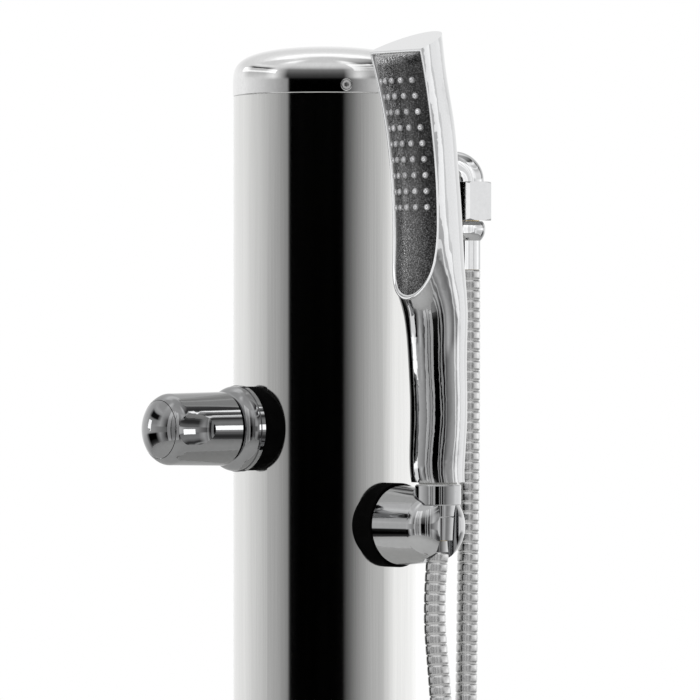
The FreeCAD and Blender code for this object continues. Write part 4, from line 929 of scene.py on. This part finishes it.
@dataclass
class Handset(SubAssembly):
    """The long hand shower. A section is a height, the oval's middle, and half its width and depth."""

    title: str = "handset"
    sections: Sequence[tuple[float, float, float, float]] = (
        (75.0, 0.7, 16.3, 16.3), (98.5, 3.3, 18.0, 18.5), (117.5, 9.0, 18.7, 23.0),
        (137.5, 14.0, 19.2, 27.0), (164.5, 16.5, 19.4, 27.0), (190.5, 19.0, 19.7, 26.4),
        (212.0, 24.0, 20.5, 26.6), (233.5, 29.0, 21.6, 27.4),
    )
    waist_front: float = 16.0
    waist_rise: float = 135.5
    upper_radius: float = 335.0
    lower_radius: float = 109.0
    plate_recess: float = 0.8
    plate_thick: float = 1.8
    plate_inset: float = 1.75
    plate_top: float = 231.3
    plate_rear_width: float = 0.97
    plate_rows: tuple[int, int] = (90, 16)
    plate_columns: int = 41
    row_power: float = 1.7
    top_from: float = 0.08
    foot_between: tuple[float, float] = (90.0, 125.0)
    plate_foot_tries: int = 701
    bezel_foot_tries: int = 7001
    crown: float = 8.4
    crown_width: float = 19.9
    crown_run: float = 7.5
    nozzle_rows: int = 9
    nozzle_columns: int = 5
    row_first: float = 13.0
    row_pitch: float = 8.6
    column_pitch: float = 6.3
    nozzle_profile: Sequence[tuple[float, float]] = (
        (1.75, -0.5), (1.75, 0.1), (1.6, 0.6), (1.35, 0.95),
        (0.95, 1.15), (0.55, 1.2), (0.34, 1.12), (0.3, 0.9),
    )
    bezel_radius: float = 0.95
    bezel_taper: float = 0.4
    bezel_out: float = 0.85
    bezel_rise: float = 0.45
    bezel_side_tries: int = 400
    bezel_top_tries: int = 60
    bezel_points: int = 520
    bezel_around: int = 14
    nozzle_around: int = 18
    slope_step: float = 0.05
    finishes: dict[Slot, str] = field(default_factory=lambda: {
        Slot.BLACK_RUBBER: "handset_washer",
        Slot.INNER_PLASTIC: "handset_nipple handset_chamber handset_water_tube",
        Slot.CHROME_PLATE: "handset_shell",
        Slot.SPRAY_PLATE: "handset_face",
        Slot.NOZZLE_RUBBER: "handset_nozzles",
    })

    def scoop(self, rise: Array) -> Array:
        """Gives how far the spray side stands in front of the handle's axis.

        The side is two arcs that meet at the waist, both hollow towards the front.

        Args:
            rise: Heights above the handset's foot.

        Returns:
            The front of the plate's edge, in millimetres.
        """
        drop = rise - self.waist_rise
        radius = np.where(drop >= 0.0, self.upper_radius, self.lower_radius)
        return self.waist_front + radius - np.sqrt((radius + self.plate_recess) ** 2 - drop ** 2)

    def half_width(self, rise: Array) -> Array:
        """Gives half the plate's width, where the scoop cuts the handset's oval section, less the rim.

        Args:
            rise: Heights above the handset's foot.

        Returns:
            The half width in millimetres, zero below the plate.
        """
        table = np.array(self.sections)
        middle, wide, deep = (np.interp(rise, table[:, 0], table[:, k]) for k in (1, 2, 3))
        share = (self.scoop(rise) - middle) / (deep - self.plate_inset)
        return (wide - self.plate_inset) * np.sqrt(np.clip(1.0 - share ** 2, 0.0, 1.0))

    def plate_foot(self, steps: int) -> float:
        """Finds the first of so many heights at which the plate has a width."""
        search = np.linspace(*self.foot_between, steps)
        return float(search[np.argmax(self.half_width(search) > 0.0)])

    def bulge(self, rise: Array, share: Array) -> Array:
        """Gives how far the plate swells in front of its edges.

        It is a parabola across the plate, as deep as the width squared allows, and near the top it rounds
        down to the straight edge as a quarter of an ellipse.

        Args:
            rise: Heights above the handset's foot.
            share: Place across, from -1 to 1.

        Returns:
            The swelling in millimetres.
        """
        run = np.clip((self.plate_top - rise) / self.crown_run, 0.0, 1.0)
        rounded = np.sqrt(1.0 - (1.0 - run) ** 2)
        return self.crown * (self.half_width(rise) / self.crown_width) ** 2 * rounded * (1.0 - share ** 2)

    def spray_plate(self) -> Piece:
        """Makes the crowned spray plate as a closed skin.

        Rows run up the plate, closer together at its round foot and at its top edge. Each row goes across
        the front and back across the rear, which is the front moved in by the plate's thickness.

        Returns:
            The plate.
        """
        foot = self.plate_foot(self.plate_foot_tries)
        shoulder = self.plate_top - self.crown_run
        middle = foot + (shoulder - foot) * np.linspace(0.0, 1.0, self.plate_rows[0]) ** self.row_power
        quarter = np.linspace(self.top_from, 0.5 * math.pi, self.plate_rows[1])
        rise = np.concatenate([middle, self.plate_top - self.crown_run * np.cos(quarter)])[:, None]
        share = np.sin(np.linspace(-0.5 * math.pi, 0.5 * math.pi, self.plate_columns))[None, :]
        front = self.scoop(rise) + self.bulge(rise, share)
        outer = np.stack([front, share * self.half_width(rise), rise + 0.0 * share], axis=-1)
        inner = outer[:, ::-1] * np.array([1.0, self.plate_rear_width, 1.0])
        inner = inner - np.array([self.plate_thick, 0.0, 0.0])
        grid = placed(np.concatenate([outer, inner], axis=1), HANDSET_FOOT, HANDSET_BEARING)
        return grid_piece("spray_plate", grid)

    def bezel(self) -> Piece:
        """Makes the bright bead round the plate.

        Its centre runs a little outside the plate's edge, up one side, across the top and down the other.
        The outward direction is the run turned by a quarter circle in the plate's plane. Points are evenly
        spread along the run, and at each a circle lies square to it, smaller by a share of the height.

        Returns:
            The ring.
        """
        foot = self.plate_foot(self.bezel_foot_tries)
        up = foot + (self.plate_top - foot) * np.linspace(0.0, 1.0, self.bezel_side_tries) ** 2
        wide = self.half_width(up)
        top = np.linspace(wide[-1], -wide[-1], self.bezel_top_tries)[1:-1]
        side = np.concatenate([wide, top, -wide[::-1]])
        rise = np.concatenate([up, np.full(len(top), self.plate_top), up[::-1]])
        run = np.concatenate([[0.0], np.cumsum(np.hypot(np.diff(side), np.diff(rise)))])
        even = np.linspace(0.0, run[-1], self.bezel_points, endpoint=False)
        edge = np.stack([np.interp(even, run, side), np.interp(even, run, rise)], axis=1)
        ahead = unit(np.roll(edge, -2, axis=0) - np.roll(edge, 2, axis=0))
        side = edge[:, 0] + self.bezel_out * ahead[:, 1]
        rise = edge[:, 1] - self.bezel_out * ahead[:, 0]
        centre = np.stack([self.scoop(rise) + self.bezel_rise, side, rise], axis=-1)
        along = np.roll(centre, -1, axis=0) - np.roll(centre, 1, axis=0)
        share = np.clip((rise - foot) / (self.plate_top - foot), 0.0, 1.0)
        radius = self.bezel_radius - self.bezel_taper * share
        ring = circles(centre, along, radius, self.bezel_around)
        return grid_piece("plate_bezel", placed(ring, HANDSET_FOOT, HANDSET_BEARING), rows_close=True)

    def plate_point(self, rise: Array, side: Array) -> Array:
        """Gives the plate's surface points, in metres, at heights and places across."""
        front = self.scoop(rise) + self.bulge(rise, side / self.half_width(rise))
        return placed(np.stack([front, side, rise], axis=-1), HANDSET_FOOT, HANDSET_BEARING)

    def nozzles(self) -> Piece:
        """Makes the rubber nozzles, each standing square to the crowned plate.

        A nozzle is a low cone with a rounded rim and a dished tip. Its direction is the cross product of the
        plate's slopes, taken by small differences.

        Returns:
            The nozzles.
        """
        lean = (self.row_first + self.row_pitch * np.arange(self.nozzle_rows)) / self.upper_radius
        rise = (self.waist_rise + self.upper_radius * np.sin(lean))[:, None]
        side = (np.arange(self.nozzle_columns) - 0.5 * (self.nozzle_columns - 1)) * self.column_pitch
        rise, side = (a.ravel() for a in np.broadcast_arrays(rise, side[None, :]))
        step = self.slope_step
        up_slope = self.plate_point(rise + step, side) - self.plate_point(rise - step, side)
        side_slope = self.plate_point(rise, side + step) - self.plate_point(rise, side - step)
        out = unit(np.cross(side_slope, up_slope))
        turn = math.radians(HANDSET_BEARING)
        facing = np.array([math.sin(turn), -math.cos(turn), 0.0])
        out *= np.sign(out @ facing)[:, None]
        profile = np.array(self.nozzle_profile) * MM
        feet = self.plate_point(rise, side)
        return studs_piece("spray_nozzles", feet, out, profile, self.nozzle_around)

    def build(self, paints: Paints) -> None:
        """Makes the crowned plate and its nozzles in place of the plain ones, and the bead round them.

        Args:
            paints: The finishes as materials.
        """
        paints.on_node("handset_shell", Slot.CHROME_PLATE, HANDSET_CHROME)
        plate = self.spray_plate()
        paints.on_piece(plate, Slot.SPRAY_PLATE)
        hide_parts("handset_face")
        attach(plate, "handset")
        nozzles = self.nozzles()
        paints.on_piece(nozzles, Slot.NOZZLE_RUBBER)
        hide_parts("handset_nozzles")
        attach(nozzles, "handset")
        bezel = self.bezel()
        paints.on_piece(bezel, Slot.CHROME_PLATE)
        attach(bezel, "handset")
        self.hide_from_reflections(plate, nozzles, bezel)
        count = self.nozzle_rows * self.nozzle_columns
        LOG.info("%s: crowned plate, bead and %d nozzles", self.title, count)


# ---- Studio ----

class Lit(Enum):
    """Which pieces a lamp lights."""

    PLATED = ("handset_shell", "hose_cone_nut", "hose_sleeve", "holder_body", "tap_handle", "tap_index_cap",
              "tap_rosette", "outlet_elbow", "hose_outlet_nut", "hose_outlet_sleeve", "ribbed_hose")
    TAP = ("tap_handle", "tap_index_cap", "tap_rosette")
    OUTLET = ("outlet_elbow", "hose_outlet_nut", "hose_outlet_sleeve")
    SHELL = ("handset_shell", "plate_bezel")
    BEZEL = ("plate_bezel",)
    PLATE = ("spray_plate",)
    NOZZLES = ("spray_nozzles",)
    HOSE = ("ribbed_hose",)
    SCREW = ("cap_set_screw",)
    CAP = ("cap_skin",)


@dataclass(frozen=True)
class CardLamp:
    """A flat lamp round the post, with its edges in degrees from the camera and above the level."""

    left: float
    right: float
    low: float
    high: float
    bright: float
    lit: Lit

    @property
    def mirrored(self) -> bool:
        """Tells whether the metal mirrors the lamp, or is lit by it as if it were matt."""
        return self.lit is not Lit.PLATE


class Side(Enum):
    """The four sides of the room, and the brightness of each by the sine of the height angle."""

    FRONT = ((-1.0, 0.45), (-0.45, 0.32), (-0.30, 0.01), (-0.06, 0.0), (0.0, 0.0), (0.035, 0.012),
             (0.12, 0.035), (0.20, 0.075), (0.29, 0.14), (0.39, 0.20), (0.53, 0.60), (0.68, 0.79),
             (0.83, 0.80), (0.93, 0.71), (1.0, 0.71))
    RIGHT = ((-1.0, 0.30), (-0.72, 0.20), (-0.60, 0.36), (-0.43, 0.20), (-0.35, 0.06), (-0.26, 0.08),
             (-0.17, 0.30), (-0.09, 0.22), (0.09, 0.22), (0.16, 0.45), (0.30, 0.50), (0.38, 0.30),
             (0.43, 0.08), (0.47, 0.08), (0.50, 0.70), (0.54, 0.08), (0.60, 0.10), (0.64, 0.29),
             (0.69, 0.95), (0.73, 0.07), (0.78, 0.12), (0.86, 0.40), (1.0, 0.71))
    BACK = ((-1.0, 0.45), (-0.40, 0.60), (-0.10, 0.90), (0.05, 1.05), (0.25, 0.93), (0.45, 0.80),
            (0.66, 0.85), (0.76, 1.00), (0.85, 1.35), (0.93, 1.20), (0.975, 0.74), (1.0, 0.71))
    LEFT = ((-1.0, 0.35), (-0.48, 0.30), (-0.40, 0.06), (-0.30, 0.0), (-0.12, 0.0), (-0.08, 0.62),
            (0.08, 0.80), (0.20, 0.60), (0.30, 0.55), (0.345, 0.01), (0.47, 0.01), (0.51, 0.70),
            (0.58, 0.95), (0.66, 0.75), (0.85, 0.75), (0.94, 0.85), (1.0, 0.71))


@dataclass
class Studio:
    """White surroundings with black boards in front, a pale floor, the lamps and the camera."""

    distance: float = 3.0
    sensor_width: float = 36.0
    farthest: float = 50.0
    floor_rings: Sequence[float] = (0.02, 0.3, 1.0, 1.9)
    floor_thick: float = 0.02
    floor_around: int = 96
    soft_place: Point = (-1.3, -1.6, 2.6)
    soft_aim: Point = (0.0, 0.0, 0.9)
    soft_size: float = 1.6
    soft_power: float = 22.0
    sides: Sequence[tuple[float, float]] = (
        (-180.0, 1.10), (-163.0, 1.00), (-121.0, 0.98), (-103.0, 0.82), (-88.0, 0.72), (-77.0, 0.60),
        (-64.5, 0.49), (-54.5, 0.37), (-50.0, 0.33), (-47.6, 0.30), (-44.8, 0.0), (22.5, 0.0), (26.5, 0.08),
        (34.0, 0.18), (42.0, 0.31), (58.0, 0.52), (81.0, 0.76), (98.0, 1.12), (121.0, 1.15), (151.0, 1.20),
        (180.0, 1.10),
    )
    side_arcs: Sequence[tuple[Side, tuple[float, float, float, float]]] = (
        (Side.LEFT, (-126.0, -112.0, -82.0, -68.0)),
        (Side.RIGHT, (40.0, 60.0, 118.0, 140.0)),
        (Side.FRONT, (-68.0, -48.0, 24.0, 44.0)),
    )
    level_band: tuple[float, float] = (0.08, 0.14)
    ramp_share: float = 0.5
    cards: Sequence[tuple[Lit, Sequence[tuple[float, float, float, float, float]]]] = (
        (Lit.PLATED, ((-46.0, -37.0, -40.0, 45.0, 0.62), (-35.0, -26.0, -40.0, 45.0, 0.46),
                      (-24.0, -13.0, -40.0, 45.0, 0.60), (6.5, 9.5, -40.0, 45.0, 0.45),
                      (14.0, 20.0, -40.0, 45.0, 0.40), (27.0, 31.0, -40.0, 45.0, 0.35))),
        (Lit.TAP, ((66.0, 86.0, -3.0, 8.0, 2.8), (76.0, 92.0, 31.0, 35.0, 1.6),
                   (86.0, 108.0, 42.5, 46.0, 2.0), (92.0, 118.0, -50.0, -46.0, 1.2),
                   (-112.0, -99.0, 0.0, 13.0, 2.2))),
        (Lit.OUTLET, ((-70.0, 38.0, -30.0, 45.0, 1.25), (40.0, 110.0, -40.0, 50.0, 0.85))),
        (Lit.SHELL, ((150.0, 205.0, 10.0, 34.0, 0.35), (-116.0, -86.0, -24.0, 38.0, 1.2),
                     (68.0, 73.0, -30.0, 30.0, 0.6), (80.0, 92.0, -30.0, 30.0, 0.7),
                     (97.0, 130.0, -30.0, 30.0, 0.3))),
        (Lit.BEZEL, ((-80.0, 50.0, -40.0, 60.0, 1.4),)),
        (Lit.PLATE, ((-131.0, -99.0, 5.0, 60.0, 45.0),)),
        (Lit.NOZZLES, ((-50.0, -30.0, -22.0, 25.0, 14.0),)),
        (Lit.HOSE, ((-16.0, 27.0, -40.0, 45.0, 0.42), (52.0, 120.0, -22.0, 22.0, 0.35))),
        (Lit.SCREW, ((-30.0, 60.0, -30.0, 50.0, 0.4),)),
        (Lit.CAP, ((-130.0, -64.0, 19.0, 29.0, 0.6), (36.0, 70.0, 24.0, 52.0, 0.4))),
    )
    card_distance: float = 2.2
    low_card_distance: float = 1.15

    def ramp(self, room: Nodes, value: Socket, limit: float,
             stops: Sequence[tuple[float, float]]) -> Socket:
        """Adds a brightness that changes along a value.

        Args:
            room: The world's nodes.
            value: What it changes along, from minus the limit to the limit.
            limit: The value at the ramp's end.
            stops: Pairs of value and brightness.

        Returns:
            The brightness times the ramp's share, because a ramp holds no more than one.
        """
        colours = room.add("ShaderNodeValToRGB", {"Fac": room.span(value, 0.0, 1.0, -limit, limit)})
        elements = colours.color_ramp.elements
        while len(elements) < len(stops):
            elements.new(1.0)
        for element, (at, _) in zip(elements, stops):
            element.position = 0.5 * (at + limit) / limit
        for element, (_, bright) in zip(elements, stops):
            grey = self.ramp_share * bright
            element.color = (grey, grey, grey, 1.0)
        return colours.outputs["Color"]

    def surroundings(self) -> None:
        """Builds the world: white to the camera, and to metal a white room with black boards in front."""
        world = bpy.data.worlds.new("studio_room")
        bpy.context.scene.world = world
        world.use_nodes = True
        room = Nodes(world.node_tree)
        direction = room.add("ShaderNodeTexCoord").outputs["Generated"]
        parts = room.add("ShaderNodeSeparateXYZ", {"Vector": direction}).outputs
        bearing = room.maths("ARCTAN2", parts["X"], room.maths("MULTIPLY", parts["Y"], -1.0))
        around = [(math.radians(at), bright) for at, bright in self.sides]
        walls = self.ramp(room, bearing, math.pi, around)
        heights = self.ramp(room, parts["Z"], 1.0, Side.BACK.value)
        full = 1.0 / self.ramp_share
        for side, arc in self.side_arcs:
            ends = [math.radians(at) for at in (-180.0, *arc, 180.0)]
            share = self.ramp(room, bearing, math.pi, list(zip(ends, (0.0, 0.0, full, full, 0.0, 0.0))))
            heights = room.mix(share, heights, self.ramp(room, parts["Z"], 1.0, side.value))
        steep = room.span(room.maths("ABSOLUTE", parts["Z"]), 0.0, 1.0, *self.level_band, "SMOOTHSTEP")
        mirrored = room.mix(steep, walls, heights)
        white = (self.ramp_share, self.ramp_share, self.ramp_share, 1.0)
        seen = room.add("ShaderNodeLightPath").outputs["Is Camera Ray"]
        light = {"Color": room.mix(seen, mirrored, white), "Strength": full}
        back = room.add("ShaderNodeBackground", light)
        room.add("ShaderNodeOutputWorld", {"Surface": back.outputs["Background"]})

    def floor(self) -> Piece:
        """Lays a round pale floor.

        Rows are circles of growing radius at height zero, and the same ones again underneath.

        Returns:
            The floor.
        """
        turn = full_turn(self.floor_around)[None, :]
        radius = np.array(self.floor_rings)[:, None]
        level = np.zeros_like(radius * turn)
        flat = np.stack([radius * np.cos(turn), radius * np.sin(turn), level], axis=-1)
        under = flat[::-1] - np.array([0.0, 0.0, self.floor_thick])
        floor = grid_piece("floor", np.concatenate([flat, under]))
        floor.data.materials.append(PALE_FLOOR.material())
        return floor

    def area_lamp(self, name: str, place: Point, turn: Point, size: tuple[float, float],
                  power: float) -> Piece:
        """Hangs one flat lamp that the camera doesn't see.

        Args:
            name: The lamp's name.
            place: Where it hangs, in metres.
            turn: How it is turned, in radians.
            size: Its width and height in metres.
            power: Its power in watts.

        Returns:
            The lamp.
        """
        data = bpy.data.lights.new(name, "AREA")
        data.shape = "RECTANGLE"
        data.size, data.size_y = size
        data.energy = power
        lamp = bpy.data.objects.new(name, data)
        lamp.location = place
        lamp.rotation_euler = turn
        lamp.visible_camera = False
        bpy.context.scene.collection.objects.link(lamp)
        return lamp

    def soft_lamp(self) -> None:
        """Hangs one wide soft lamp in front, high on the left."""
        across, along, rise = np.array(self.soft_aim) - np.array(self.soft_place)
        turn = (math.atan2(math.hypot(across, along), -rise), 0.0, math.atan2(along, across) - 0.5 * math.pi)
        lamp = self.area_lamp("soft_lamp", self.soft_place, turn, (self.soft_size, self.soft_size),
                              self.soft_power)
        lamp.visible_glossy = False

    def card_lamp(self, name: str, card: CardLamp) -> Piece:
        """Stands one card lamp so that it faces the middle of the picture.

        Args:
            name: The lamp's name.
            card: Its place and brightness. One wholly below the level stands nearer, above the floor.

        Returns:
            The lamp.
        """
        bearing = math.radians(0.5 * (card.left + card.right))
        lift = math.radians(0.5 * (card.low + card.high))
        distance = self.low_card_distance if card.high < 0.0 else self.card_distance
        width = 2.0 * distance * math.tan(0.5 * math.radians(card.right - card.left)) * math.cos(lift)
        height = 2.0 * distance * math.tan(0.5 * math.radians(card.high - card.low))
        level = distance * math.cos(lift)
        place = (level * math.sin(bearing), -level * math.cos(bearing),
                 PHOTO_CENTRE_Z * MM + distance * math.sin(lift))
        turn = (0.5 * math.pi - lift, 0.0, bearing)
        lamp = self.area_lamp(name, place, turn, (width, height), card.bright * math.pi * width * height)
        lamp.visible_glossy = card.mirrored
        return lamp

    def card_lamps(self) -> None:
        """Stands the card lamps round the post, each lighting only the pieces that it is meant for."""
        groups = {}
        for lit in Lit:
            groups[lit] = bpy.data.collections.new(f"lit_{lit.name.lower()}")
            for piece in lit.value:
                groups[lit].objects.link(bpy.data.objects[piece])
        cards = [CardLamp(*row, lit) for lit, rows in self.cards for row in rows]
        for number, card in enumerate(cards):
            lamp = self.card_lamp(f"card_lamp_{number}", card)
            lamp.light_linking.receiver_collection = groups[card.lit]
        LOG.info("studio: %d card lamps", len(cards))

    def camera(self) -> None:
        """Sets the camera level in front of the post, where the photograph was taken from."""
        data = bpy.data.cameras.new("front_camera")
        data.sensor_width = self.sensor_width
        data.lens = self.sensor_width * self.distance / (PHOTO_WIDTH * MM)
        data.clip_end = self.farthest
        camera = bpy.data.objects.new("front_camera", data)
        camera.location = (PHOTO_CENTRE_X * MM, -self.distance, PHOTO_CENTRE_Z * MM)
        camera.rotation_euler = (0.5 * math.pi, 0.0, 0.0)
        bpy.context.scene.collection.objects.link(camera)
        bpy.context.scene.camera = camera

    def build(self) -> None:
        """Sets up the camera, the room, the floor, the soft lamp and the standard view of colours."""
        self.camera()
        self.surroundings()
        self.floor()
        self.soft_lamp()
        bpy.context.scene.view_settings.view_transform = "Standard"
        LOG.info("studio: camera, room, floor and soft lamp")


def main() -> None:
    """Builds the studio and every sub-assembly in order."""
    logging.basicConfig(level=logging.INFO, format="%(name)s %(message)s")
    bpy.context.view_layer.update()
    studio = Studio()
    studio.build()
    paints = Paints()
    for group in (Hose(), Post(), WaterWay(), Tap(), Holder(), Outlet(), Handset()):
        group.dress(paints)
        group.build(paints)
        LOG.info("%s is built", group.title)
    studio.card_lamps()


if __name__ == "__main__":
    main()
